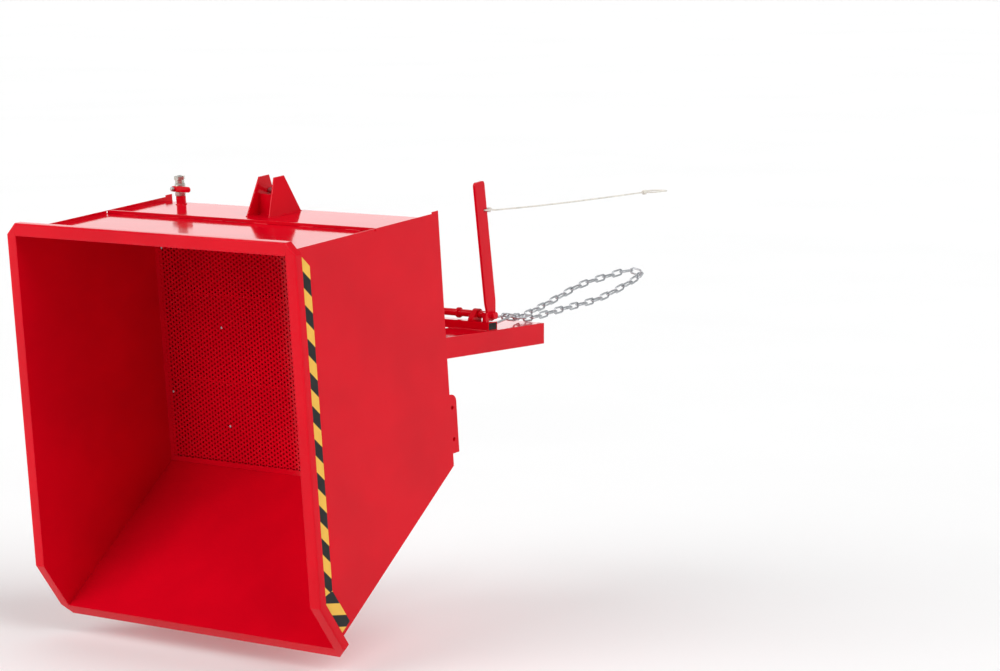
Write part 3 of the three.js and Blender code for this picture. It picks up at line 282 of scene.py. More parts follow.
def laid_rope(context):
    """Three-strand polypropylene rope: off-white fibres, matt, a little soiled."""
    material, tree, inputs, place = new_material(
        "Laid polypropylene rope", Roughness=0.7, Sheen_Weight=0.2)
    clean = linear(context.scene.hopper_finish.rope)
    feed(tree, inputs["Base Color"], noise(tree, place, 30 * MM, 5.0, 0.6),
         (0.3, dimmed(clean, 0.72)), (0.6, clean))
    bump(tree, inputs, noise(tree, place, 0.8 * MM, 2.0), 0.5, 0.3 * MM)
    return material


def studio_paper(context):
    """Matt white studio floor."""
    material, tree, inputs, place = new_material("Studio floor", Roughness=0.9)
    feed(tree, inputs["Base Color"], noise(tree, place, 2.0),
         (0.3, linear("#F4F4F4")), (0.7, linear("#F6F6F6")))
    return material


MAKERS = {
    "red_paint": powder_coat,
    "zinc_steel": zinc_plate,
    "nickel_plate": nickel_plate,
    "rubber": moulded_rubber,
    "hazard_tape": hazard_film,
    "rope": laid_rope,
    "floor": studio_paper,
}
_finishes = {}


def finish_of(context, slot):
    """The material of one of the record's slots, made once."""
    if slot not in _finishes:
        _finishes[slot] = MAKERS[slot](context)
    return _finishes[slot]


SLOT_OF = {part["node"]: part["material_slot"] for part in frame["record"]["subparts"]}
BODIES = frame["record"]["behaviour"]["bodies"]
BODY_OF = {node: body for body, nodes in BODIES.items() for node in nodes}


def shade(bm, angle):
    """Smooth faces, kept sharp where two faces meet at more than an angle."""
    for face in bm.faces:
        face.smooth = True
    for edge in bm.edges:
        edge.smooth = len(edge.link_faces) == 2 and edge.calc_face_angle(0.0) < angle


def new_object(context, bm, name, slot):
    """Turns a bmesh into an object of the scene with a slot's finish."""
    mesh = bpy.data.meshes.new(name)
    bm.to_mesh(mesh)
    bm.free()
    mesh.materials.append(finish_of(context, slot))
    made = bpy.data.objects.new(name, mesh)
    context.scene.collection.objects.link(made)
    return made


def place_piece(context, bm, name, *nodes, slot=None, body=None, angle=SHARP):
    """Makes a piece that stands for CAD nodes and rides as they do, or one of its own."""
    slot = slot or SLOT_OF[nodes[0]]
    shade(bm, angle)
    piece = new_object(context, bm, name, slot)
    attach(piece, body or BODY_OF[nodes[0]])
    if nodes:
        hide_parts(*nodes)
    return piece


def verts_of(made):
    """The vertices among what an extrusion made."""
    return [item for item in made["geom"] if isinstance(item, bmesh.types.BMVert)]


def ring(bm, radius, sides):
    """A round section in the x and y plane, and its edges."""
    made = bmesh.ops.create_circle(bm, radius=radius, segments=sides)
    return list({edge for vert in made["verts"] for edge in vert.link_edges})


def sweep(bm, edges, frames, closed):
    """Carries a section, given at the first frame, through a row of frames by extruding it."""
    verts = list({vert for edge in edges for vert in edge.verts})
    bmesh.ops.transform(bm, matrix=frames[0], verts=verts)
    if not closed:
        bmesh.ops.contextual_create(bm, geom=edges)
    for before, after in zip(frames, frames[1:]):
        grown = bmesh.ops.extrude_edge_only(bm, edges=edges)
        verts = verts_of(grown)
        edges = [item for item in grown["geom"] if isinstance(item, bmesh.types.BMEdge)
                 and item.verts[0] in verts and item.verts[1] in verts]
        bmesh.ops.transform(bm, matrix=after @ before.inverted(), verts=verts)
    if not closed:
        bmesh.ops.contextual_create(bm, geom=edges)


def frames_along(path, sideways=Vector((0, 1, 0)), twist=0.0, scales=None, closed=False):
    """Section frames along a path: z runs forward, x keeps near a sideways direction."""
    frames = []
    count = len(path)
    run = 0.0
    for i, spot in enumerate(path):
        before = path[i - 1] if i or closed else path[0]
        after = path[(i + 1) % count] if i + 1 < count or closed else path[-1]
        forward = (after - before).normalized()
        side = (sideways - forward * sideways.dot(forward)).normalized()
        up = forward.cross(side)
        matrix = Matrix((side, up, forward)).transposed().to_4x4()
        matrix.translation = spot
        run += (spot - path[i - 1]).length if i else 0.0
        scale = scales[i] if scales else 1.0
        frames.append(matrix @ Matrix.Rotation(twist * run, 4, "Z")
                      @ Matrix.Diagonal((scale, scale, 1, 1)))
    if closed:
        frames.append(frames[0].copy())
    return frames


def tidy(bm):
    """Merges doubled vertices and turns all faces outwards."""
    bmesh.ops.remove_doubles(bm, verts=bm.verts, dist=MERGE)
    bmesh.ops.recalc_face_normals(bm, faces=bm.faces)


def tube(bm, path, radius, sides=12, closed=False, **options):
    """A round wire along a path."""
    sweep(bm, ring(bm, radius, sides), frames_along(path, closed=closed, **options), closed)


def arc_points(centre, radius, start, end, steps):
    """Points of an arc in a profile, as 2D vectors."""
    angles = [start + (end - start) * i / steps for i in range(steps + 1)]
    return [Vector((centre[0] + radius * math.cos(a), centre[1] + radius * math.sin(a)))
            for a in angles]


def thicken(bm, faces, shift):
    """Extrudes faces by a shift into closed solids."""
    moved = verts_of(bmesh.ops.extrude_face_region(bm, geom=faces))
    bmesh.ops.translate(bm, vec=shift, verts=moved)
    bmesh.ops.recalc_face_normals(bm, faces=bm.faces)


def round_edges(bm, edges, offset, segments=2):
    """Bevels edges into a rounding."""
    bmesh.ops.bevel(bm, geom=edges, offset=offset, offset_type="OFFSET", segments=segments,
                    profile=0.5, affect="EDGES", clamp_overlap=True, material=-1)


def sink_hole(bm, face, centre, radius, depth):
    """Turns a face into a round hole with a wall, and returns the wall's far vertices."""
    for vert in face.verts:
        vert.co = centre + (vert.co - centre).normalized() * radius
    rim = face.edges[:]
    bmesh.ops.delete(bm, geom=[face], context="FACES_ONLY")
    far = verts_of(bmesh.ops.extrude_edge_only(bm, edges=rim))
    bmesh.ops.translate(bm, vec=(0, 0, -depth), verts=far)
    return far


def gather(bm, part):
    """Adds one bmesh to another."""
    mesh = bpy.data.meshes.new("part")
    bmesh.ops.recalc_face_normals(part, faces=part.faces)
    part.to_mesh(mesh)
    part.free()
    bm.from_mesh(mesh)
    bpy.data.meshes.remove(mesh)


def lathe(bm, profile, matrix, steps=48):
    """Adds a profile of radius and height, in millimetres, turned about z."""
    part = bmesh.new()
    verts = [part.verts.new((radius * MM, 0, height * MM)) for radius, height in profile]
    edges = [part.edges.new(pair) for pair in zip(verts, verts[1:])]
    bmesh.ops.spin(part, geom=verts + edges, cent=(0, 0, 0), axis=(0, 0, 1), dvec=(0, 0, 0),
                   angle=2 * math.pi, steps=steps, use_merge=True, use_duplicate=False)
    tidy(part)
    bmesh.ops.transform(part, matrix=matrix, verts=part.verts)
    gather(bm, part)


def hexagon(bm, radius, low, high, matrix, bore=0.0, depth=0.0):
    """Adds a six-sided nut with chamfered ends, and a blind round bore at its high end."""
    chamfer = radius * 0.09
    inset = chamfer * 1.6
    part = bmesh.new()
    bmesh.ops.create_cone(part, cap_ends=True, segments=6, radius1=radius, radius2=radius,
                          depth=high - low - 2 * chamfer,
                          matrix=Matrix.Translation((0, 0, (low + high) / 2)))
    caps = [face for face in part.faces if len(face.verts) == 6]
    bmesh.ops.inset_individual(part, faces=caps, thickness=inset, depth=chamfer)
    if depth:
        cap = max(caps, key=lambda face: face.calc_center_median().z)
        apothem = radius * math.cos(math.pi / 6) - inset
        bmesh.ops.inset_individual(part, faces=[cap], thickness=apothem - bore)
        bmesh.ops.subdivide_edges(part, edges=cap.edges[:], cuts=5)
        far = sink_hole(part, cap, Vector((0, 0, high)), bore, depth)
        bmesh.ops.contextual_create(part, geom=far)
    bmesh.ops.transform(part, matrix=matrix, verts=part.verts)
    gather(bm, part)


def catmull_rom(points, divisions=200):
    """A centripetal Catmull-Rom curve through points, as a fine row of points."""
    ends = [points[0] * 2 - points[1], *points, points[-1] * 2 - points[-2]]
    fine = []
    for i in range(divisions + 1):
        spot = i / divisions * (len(points) - 1)
        k = min(int(spot), len(points) - 2)
        w = spot - k
        p = ends[k:k + 4]
        dt = [max((p[j + 1] - p[j]).length_squared ** 0.25, 1e-4) for j in range(3)]
        slopes = [(p[j + 1] - p[j]) / dt[j] - (p[j + 2] - p[j]) / (dt[j] + dt[j + 1])
                  + (p[j + 2] - p[j + 1]) / dt[j + 1] for j in range(2)]
        t1, t2 = (slope * dt[1] for slope in slopes)
        c2 = p[1] * -3 + p[2] * 3 - t1 * 2 - t2
        c3 = p[1] * 2 - p[2] * 2 + t1 + t2
        fine.append(p[1] + t1 * w + c2 * w ** 2 + c3 * w ** 3)
    return fine


def evenly(points, count):
    """Points at equal distances along a polyline, and its length."""
    lengths = [0.0]
    for a, b in zip(points, points[1:]):
        lengths.append(lengths[-1] + (b - a).length)
    spots = []
    k = 0
    for i in range(count + 1):
        target = lengths[-1] * i / count
        while k < len(points) - 2 and lengths[k + 1] < target:
            k += 1
        share = (target - lengths[k]) / (lengths[k + 1] - lengths[k])
        spots.append(points[k].lerp(points[k + 1], share))
    return spots, lengths[-1]


class HOPPER_OT_materials(bpy.types.Operator):
    """Give every part of the frame the finish of its slot"""

    bl_idname = "hopper.materials"
    bl_label = "Finishes"

    def execute(self, context):
        for node, part in frame["nodes"].items():
            part.data.materials.clear()
            part.data.materials.append(finish_of(context, SLOT_OF[node]))
        return {"FINISHED"}


# Parts whose edges are cut or sawn, with their rounding as a share of the edge setting
SOFTENED = {
    "side_panel": 0.6, "floor_panel": 0.6, "front_slope": 0.6, "rear_stiffener": 1,
    "catch_plate": 1.2, "catch_web": 1, "catch_pin": 1, "sieve_ledge": 1, "sieve_bearer_1": 1,
    "sieve_bearer_2": 1, "foot": 1, "hinge_lug": 1, "fork_pocket": 2, "rear_tube": 2.5,
    "front_beam": 2.5, "rest_beam": 2.5, "rest_pad": 1, "hinge_clevis": 1, "hinge_pin": 1,
    "hinge_washer": 0.5, "shaft_bearing": 1.2, "lever_stop": 1.2, "chain_eye": 1.2,
    "latch_shaft": 1.2, "shaft_collar": 1, "latch_hook": 1.2, "hand_lever": 1.4,
}


class HOPPER_OT_soften(bpy.types.Operator):
    """Round the cut and sawn edges of the sheets, bars and tubes"""

    bl_idname = "hopper.soften"
    bl_label = "Rounded Edges"

    # Facets that bend less than this are one face
    flat = math.radians(2)

    def soften(self, context, node, offset):
        """A copy of a node's solid with rounded edges."""
        bm = bmesh.new()
        bm.from_mesh(frame["nodes"][node].data)
        bmesh.ops.remove_doubles(bm, verts=bm.verts, dist=MERGE)
        bmesh.ops.dissolve_limit(bm, angle_limit=self.flat, verts=bm.verts, edges=bm.edges)
        round_edges(bm, [e for e in bm.edges
                         if len(e.link_faces) == 2 and e.calc_face_angle(0.0) > SHARP], offset)
        piece = place_piece(context, bm, f"soft_{node}", node)
        piece.modifiers.new("Flat faces", "WEIGHTED_NORMAL").keep_sharp = True

    def execute(self, context):
        edge = context.scene.hopper_sizes.edge
        for name, share in SOFTENED.items():
            pair = [f"{name}_left", f"{name}_right"]
            for node in [name] if name in frame["nodes"] else pair:
                self.soften(context, node, edge * share)
        return {"FINISHED"}


class HOPPER_OT_plugs(bpy.types.Operator):
    """Black plastic plugs in the open ends of the rear tube"""

    bl_idname = "hopper.plugs"
    bl_label = "Tube Plugs"

    middle = Vector((303, 0, 20.3)) * MM
    size = (43.4 * MM, 12 * MM, 23.4 * MM)
    tube_end = 320 * MM
    recess = 1 * MM
    edge = 0.8 * MM

    def execute(self, context):
        bm = bmesh.new()
        reach = self.tube_end - self.recess - self.size[1] / 2
        for sign in (1, -1):
            place = Matrix.Translation(self.middle + Vector((0, sign * reach, 0)))
            bmesh.ops.create_cube(bm, size=1, matrix=place @ Matrix.Diagonal((*self.size, 1)))
        round_edges(bm, bm.edges[:], self.edge)
        place_piece(context, bm, "tube_plugs", slot="rubber", body="frame")
        return {"FINISHED"}


class HOPPER_OT_rear_wall(bpy.types.Operator):
    """Rear wall, rolled round into the floor in one smooth bend"""

    bl_idname = "hopper.rear_wall"
    bl_label = "Rear Wall"

    steps = 24

    def execute(self, context):
        bm = bmesh.new()
        centre = (REAR_BEND, REAR_BEND)
        quarter = (math.pi, 1.5 * math.pi)
        outline = [
            Vector((0, MOUTH_HEIGHT)),
            *arc_points(centre, REAR_BEND, *quarter, self.steps),
            *arc_points(centre, REAR_BEND - SHEET, *reversed(quarter), self.steps),
            Vector((SHEET, MOUTH_HEIGHT)),
        ]
        corners = [bm.verts.new(SHELL @ spatial(point, -INNER_HALF)) for point in outline]
        thicken(bm, [bm.faces.new(corners)], SHELL.to_3x3() @ Vector((0, 2 * INNER_HALF, 0)))
        place_piece(context, bm, "rolled_rear_wall", "rear_wall")
        return {"FINISHED"}


class HOPPER_OT_rim(bpy.types.Operator):
    """Folded rim round the mouth, with a tight bend that catches the light"""

    bl_idname = "hopper.rim"
    bl_label = "Folded Rim"

    width = 40 * MM
    depth = 30 * MM
    bend = 6 * MM
    bend_steps = 8
    sharp = math.radians(25)

    def section(self):
        """The folded angle: x outwards from the wall, y down from the mouth."""
        bend = (self.width - self.bend, self.bend)
        quarter = (-math.pi / 2, 0)
        return [
            Vector((GAP, 0)),
            *arc_points(bend, self.bend, *quarter, self.bend_steps),
            Vector((self.width, self.depth)),
            Vector((self.width - SHEET, self.depth)),
            *arc_points(bend, self.bend - SHEET, *reversed(quarter), self.bend_steps),
            Vector((GAP, SHEET)),
        ]

    def rail(self, context, node, stations):
        """Bridges the section through its stations: base point, outward and downward directions."""
        bm = bmesh.new()
        loops = []
        for base, outward, down in stations:
            verts = [bm.verts.new(SHELL @ (base + outward * p.x + down * p.y))
                     for p in self.section()]
            loops.append([bm.edges.new(ends) for ends in zip(verts, verts[1:] + verts[:1])])
        for a, b in zip(loops, loops[1:]):
            bmesh.ops.bridge_loops(bm, edges=a + b)
        for loop in (loops[0], loops[-1]):
            bmesh.ops.contextual_create(bm, geom=loop)
        tidy(bm)
        place_piece(context, bm, f"folded_{node}", node, angle=self.sharp)

    def execute(self, context):
        facet_out = spatial(FACET_RUN)
        rear_out = Vector((-1, 0, 0))
        down = Vector((0, 0, -1))
        facet_down = -spatial(FACET_NORMAL)
        for node, sign in (("rim_left", 1), ("rim_right", -1)):
            side = Vector((0, sign, 0))
            rear = Vector((0, sign * HALF_WIDTH, MOUTH_HEIGHT))
            lip = spatial(LIP, sign * HALF_WIDTH)
            self.rail(context, node, [
                (rear, rear_out, down),
                (rear, side, down),
                (spatial(KINK, sign * HALF_WIDTH), side, -spatial(MITRE)),
                (lip, side, facet_down),
                (lip, facet_out, facet_down),
            ])
        end = HALF_WIDTH - GAP
        for node, base, outward, fall in (
            ("rim_rear", Vector((0, 0, MOUTH_HEIGHT)), rear_out, down),
            ("rim_lip", spatial(LIP), facet_out, facet_down),
        ):
            ends = [base + Vector((0, y, 0)) for y in (-end, end)]
            stations = [(spot, outward, fall) for spot in ends]
            self.rail(context, node, stations)
        return {"FINISHED"}


class HOPPER_OT_tape(bpy.types.Operator):
    """Hazard tape on both sides, in two lengths joined at the mouth's kink"""

    bl_idname = "hopper.tape"
    bl_label = "Hazard Tape"

    from_mouth = 60 * MM
    width = 50 * MM
    start = 3 * MM
    end_margin = 14 * MM
    thickness = 0.5 * MM
    # The second length was cut off the roll at another place in its stripes
    second_shift = -13.3 * MM

    def end_of(self, point):
        """Where a line down the lip's facet meets the margin beside the slope."""
        inside = SLOPE_INWARD.dot(point - Vector((FLOOR_LENGTH, 0))) - self.end_margin
        return point + FACET_RUN * (inside / -SLOPE_INWARD.dot(FACET_RUN))

    def execute(self, context):
        pitch = context.scene.hopper_sizes.stripe_pitch
        top = KINK - MITRE * self.from_mouth
        bottom = KINK - MITRE * (self.from_mouth + self.width)
        rear = self.start
        lengths = (
            ([Vector((rear, top.y)), Vector((rear + self.width, bottom.y)), bottom, top],
             Vector((1, 0)), Vector((0, 1)), 0),
            ([top, bottom, self.end_of(bottom), self.end_of(top)],
             FACET_RUN, FACET_NORMAL, self.second_shift),
        )
        for side, sign in (("left", 1), ("right", -1)):
            bm = bmesh.new()
            layer = bm.loops.layers.uv.new("along")
            low = sign * (HALF_WIDTH + GAP)
            for corners, run, rise, shift in lengths:
                face = bm.faces.new([bm.verts.new(SHELL @ spatial(spot, low)) for spot in corners])
                for loop, spot in zip(face.loops, corners):
                    loop[layer].uv = ((spot.dot(run) + shift) / pitch, spot.dot(rise) / pitch)
                thicken(bm, [face], (0, sign * self.thickness, 0))
            place_piece(context, bm, f"striped_tape_{side}", f"hazard_tape_{side}")
        return {"FINISHED"}


class HOPPER_OT_sieve(bpy.types.Operator):
    """Perforated sieve sheet with a plain border, screwed to its ledges"""

    bl_idname = "hopper.sieve"
    bl_label = "Sieve"

    rear = 3.3 * MM
    front = 921.9 * MM
    top = 110 * MM
    thickness = 2 * MM
    border = 18 * MM
    # The border overlaps the cells, which lie a little lower
    overlap = 0.3
    step = 0.3 * MM
    bays = 4
    screws = ((155, 565), (423, 309), (670, 561), (774, 302))
    screw = ((0, 1.2), (1.4, 1.2), (1.6, 2.6), (3.1, 2.3), (4.4, 1.3), (4.8, -0.6))

    def cell(self, bm, spot, pitch, share):
        """One six-sided cell with a round hole."""
        made = bmesh.ops.create_circle(bm, cap_ends=True, radius=pitch / math.sqrt(3), segments=6,
                                       matrix=Matrix.Translation(spot))
        face = made["verts"][0].link_faces[0]
        bmesh.ops.subdivide_edges(bm, edges=face.edges[:], cuts=1)
        bmesh.ops.inset_individual(bm, faces=[face], thickness=pitch * 0.1)
        sink_hole(bm, face, spot, pitch * share / 2, self.thickness)

    def execute(self, context):
        sizes = context.scene.hopper_sizes
        pitch = sizes.hole_pitch
        repeat = pitch * math.sqrt(3)
        inner = self.border * (1 - self.overlap)
        rows = int((self.front - self.rear - 2 * inner) / pitch)
        columns = int(2 * (INNER_HALF - inner) / repeat)
        start = Vector(((self.front + self.rear - (rows - 0.5) * pitch) / 2,
                        -(columns - 0.5) * repeat / 2, self.top - self.step))
        for bay in range(self.bays):
            first = rows * bay // self.bays
            last = rows * (bay + 1) // self.bays
            bm = bmesh.new()
            for x, y in ((0, 0), (pitch / 2, repeat / 2)):
                spot = start + Vector((first * pitch + x, y, 0))
                self.cell(bm, spot, pitch, sizes.hole_share)
            bmesh.ops.transform(bm, matrix=SHELL, verts=bm.verts)
            piece = place_piece(context, bm, f"perforated_sheet_{bay + 1}",
                                *([] if bay else ["sieve_sheet"]), slot="red_paint", body="hopper")
            for name, count, direction in (
                ("Across", columns, Vector((0, repeat, 0))),
                ("Along", last - first, Vector((pitch, 0, 0))),
            ):
                array = piece.modifiers.new(name, "ARRAY")
                array.count = count
                array.use_relative_offset = False
                array.use_constant_offset = True
                array.constant_offset_displace = SHELL.to_3x3() @ direction
        self.add_border(context)
        self.add_screws(context)
        return {"FINISHED"}

    def add_border(self, context):
        """A plain frame of sheet round the cells."""
        bm = bmesh.new()
        middle = Matrix.Translation(((self.front + self.rear) / 2, 0, self.top))
        size = Matrix.Diagonal((self.front - self.rear, 2 * INNER_HALF, 1, 1))
        bmesh.ops.create_grid(bm, x_segments=1, y_segments=1, size=0.5, matrix=middle @ size)
        inside = bm.faces[:]
        bmesh.ops.inset_region(bm, faces=inside, thickness=self.border, use_boundary=True,
                               use_even_offset=True)
        bmesh.ops.delete(bm, geom=inside, context="FACES_ONLY")
        thicken(bm, bm.faces[:], (0, 0, -self.thickness))
        bmesh.ops.transform(bm, matrix=SHELL, verts=bm.verts)
        place_piece(context, bm, "sieve_border", slot="red_paint", body="hopper")

    def add_screws(self, context):
        """Domed screw heads with a drive hole."""
        bm = bmesh.new()
        for along, aside in self.screws:
            for sign in (1, -1):
                spot = Matrix.Translation((along * MM, sign * aside * MM, self.top - self.step))
                lathe(bm, self.screw, SHELL @ spot, 24)
        place_piece(context, bm, "sieve_screws", slot="zinc_steel", body="hopper")


class HOPPER_OT_valve(bpy.types.Operator):
    """Ball valve on the sump: hexagonal ends, round housing, stem, lever handle and nut"""

    bl_idname = "hopper.valve"
    bl_label = "Drain Valve"

    # In millimetres; heights run along the valve from the rear wall, and along the stem
    foot = 30.3
    end = 100.3
    ball = 59.3
    ball_radius = 12.9
    bore = 9
    port = 18
    waist = 16
    waist_tuck = 10
    housing = 19
    housing_half = 16
    fullness = 1.6
    socket = 17
    socket_chamfer = (1.5, 1.7)
    hexagon_radius = 20
    hexagon_length = 14
    handle_length = 88
    handle_width = 20
    handle_thickness = 5
    handle_foot = 31.3
    handle_edge = 1.2
    neck = ((10.5, 12), (9.6, 18), (9.6, 26), (10, 27), (10, 30.4), (9.4, 31), (0, 31))
    spindle = ((5, 13.5), (5, 46.2), (4.2, 47), (0, 47))
    thread = ((4.9, 0), (5.35, 0.4), (4.9, 0.8))
    thread_foot = 37.2
    thread_pitch = 1.2
    threads = 8
    nut_radius = 9
    nut_span = (36.6, 43.6)

    def add_body(self, context, valve, stem):
        """The red socket, and the plated body with its hexagons and its neck."""
        bm = bmesh.new()
        low, high = GAP / MM, self.foot - GAP / MM
        inward, down = self.socket_chamfer
        lathe(bm, [(self.bore, low), (self.socket, low), (self.socket, high - down),
                   (self.socket - inward, high), (self.bore, high)], valve)
        place_piece(context, bm, "valve_socket", "drain_socket")

        bm = bmesh.new()
        radius, long = self.hexagon_radius * MM, self.hexagon_length
        hexagon(bm, radius, self.foot * MM, (self.foot + long) * MM, valve)
        hexagon(bm, radius, (self.end - long) * MM, self.end * MM, valve, self.bore * MM,
                self.port * MM)
        swell = self.housing - self.waist
        profile = [(self.waist, self.foot + self.waist_tuck),
                   (self.waist, self.ball - self.housing_half)]
        for angle in (math.pi * share / 6 for share in range(7)):
            profile.append((self.waist + swell * min(1.0, self.fullness * math.sin(angle)),
                            self.ball - self.housing_half * math.cos(angle)))
        profile.append((self.waist, self.end - self.waist_tuck))
        lathe(bm, profile, valve)
        lathe(bm, self.neck, stem)
        place_piece(context, bm, "valve_housing", "valve_body")

    def add_lever(self, context, stem):
        """The flat lever, round at both ends."""
        half = self.handle_width / 2
        far = self.handle_length - self.handle_width
        around = arc_points((0, 0), half, math.pi, 2 * math.pi, 16)
        outline = around + [Vector((-p.x, far - p.y)) for p in around]
        bm = bmesh.new()
        face = bm.faces.new([bm.verts.new(Vector((*p, self.handle_foot)) * MM) for p in outline])
        thicken(bm, [face], (0, 0, self.handle_thickness * MM))
        rims = [e for e in bm.edges if abs(e.verts[0].co.z - e.verts[1].co.z) < GAP]
        round_edges(bm, rims, self.handle_edge * MM, 3)
        bmesh.ops.transform(bm, matrix=stem, verts=bm.verts)
        place_piece(context, bm, "valve_lever", "valve_handle")

    def execute(self, context):
        valve = SHELL @ Matrix.Translation(DRAIN) @ Matrix.Rotation(-math.pi / 2, 4, "Y")
        centre = valve @ Matrix.Translation((0, 0, self.ball * MM))
        stem = centre @ Matrix.Rotation(math.pi / 2, 4, "Y")
        self.add_body(context, valve, stem)

        bm = bmesh.new()
        bmesh.ops.create_uvsphere(bm, u_segments=32, v_segments=16, radius=self.ball_radius * MM,
                                  matrix=centre)
        place_piece(context, bm, "valve_ball_turned", "valve_ball")

        bm = bmesh.new()
        lathe(bm, self.spindle, stem, 24)
        for turn in range(self.threads):
            rise = self.thread_foot + self.thread_pitch * turn
            lathe(bm, [(radius, rise + up) for radius, up in self.thread], stem, 24)
        place_piece(context, bm, "valve_stem_threaded", "valve_stem")

        self.add_lever(context, stem)
        bm = bmesh.new()
        hexagon(bm, self.nut_radius * MM, *(end * MM for end in self.nut_span), stem)
        place_piece(context, bm, "valve_hex_nut", "valve_nut")
        return {"FINISHED"}


class HOPPER_OT_spring(bpy.types.Operator):
    """Torsion spring that turns the latch shaft back"""

    bl_idname = "hopper.spring"
    bl_label = "Return Spring"

    wire = 2 * MM
    inside = 15 * MM
    coils = 5
    pitch = 5 * MM
    hook_half = 6 * MM
    arm_reach = 45 * MM
    foot_reach = 34 * MM
    catch_pin = Vector((77, 107.7))
    arm_ahead = math.radians(30)
    steps = 32
    sides = 14

    def execute(self, context):
        coil = self.inside + self.wire
        arm = math.atan2(self.catch_pin.y, self.catch_pin.x) + self.arm_ahead
        first = arm + math.acos(coil / self.arm_reach)
        last = 1.5 * math.pi + self.coils * 2 * math.pi
        place = self.hook_half + GAP + self.wire

        def at(radius, angle, y):
            return SHAFT + Vector((radius * math.cos(angle), y, radius * math.sin(angle)))

        # The wire's end is hooked round the edge of the hook plate, in two short bends
        hooked = [at(self.arm_reach, arm, 0), at(self.arm_reach, arm, place - self.wire),
                  at(self.arm_reach - 0.6 * self.wire, arm, place - 0.4 * self.wire),
                  at(self.arm_reach - 1.6 * self.wire, arm, place)]
        path = hooked[-1:]
        count = round(self.steps * (last - first) / (2 * math.pi))
        for i in range(count + 1):
            angle = first + (last - first) * i / count
            path.append(at(coil, angle, place + self.pitch * (angle - first) / (2 * math.pi)))
        path.append(Vector((SHAFT.x + self.foot_reach, path[-1].y, TUBE_TOP + GAP + self.wire)))
        bm = bmesh.new()
        tube(bm, hooked, self.wire, self.sides, sideways=Vector((1, 0, 0.3)))
        tube(bm, path, self.wire, self.sides)
        tidy(bm)
        place_piece(context, bm, "wound_spring", "latch_spring")
        return {"FINISHED"}


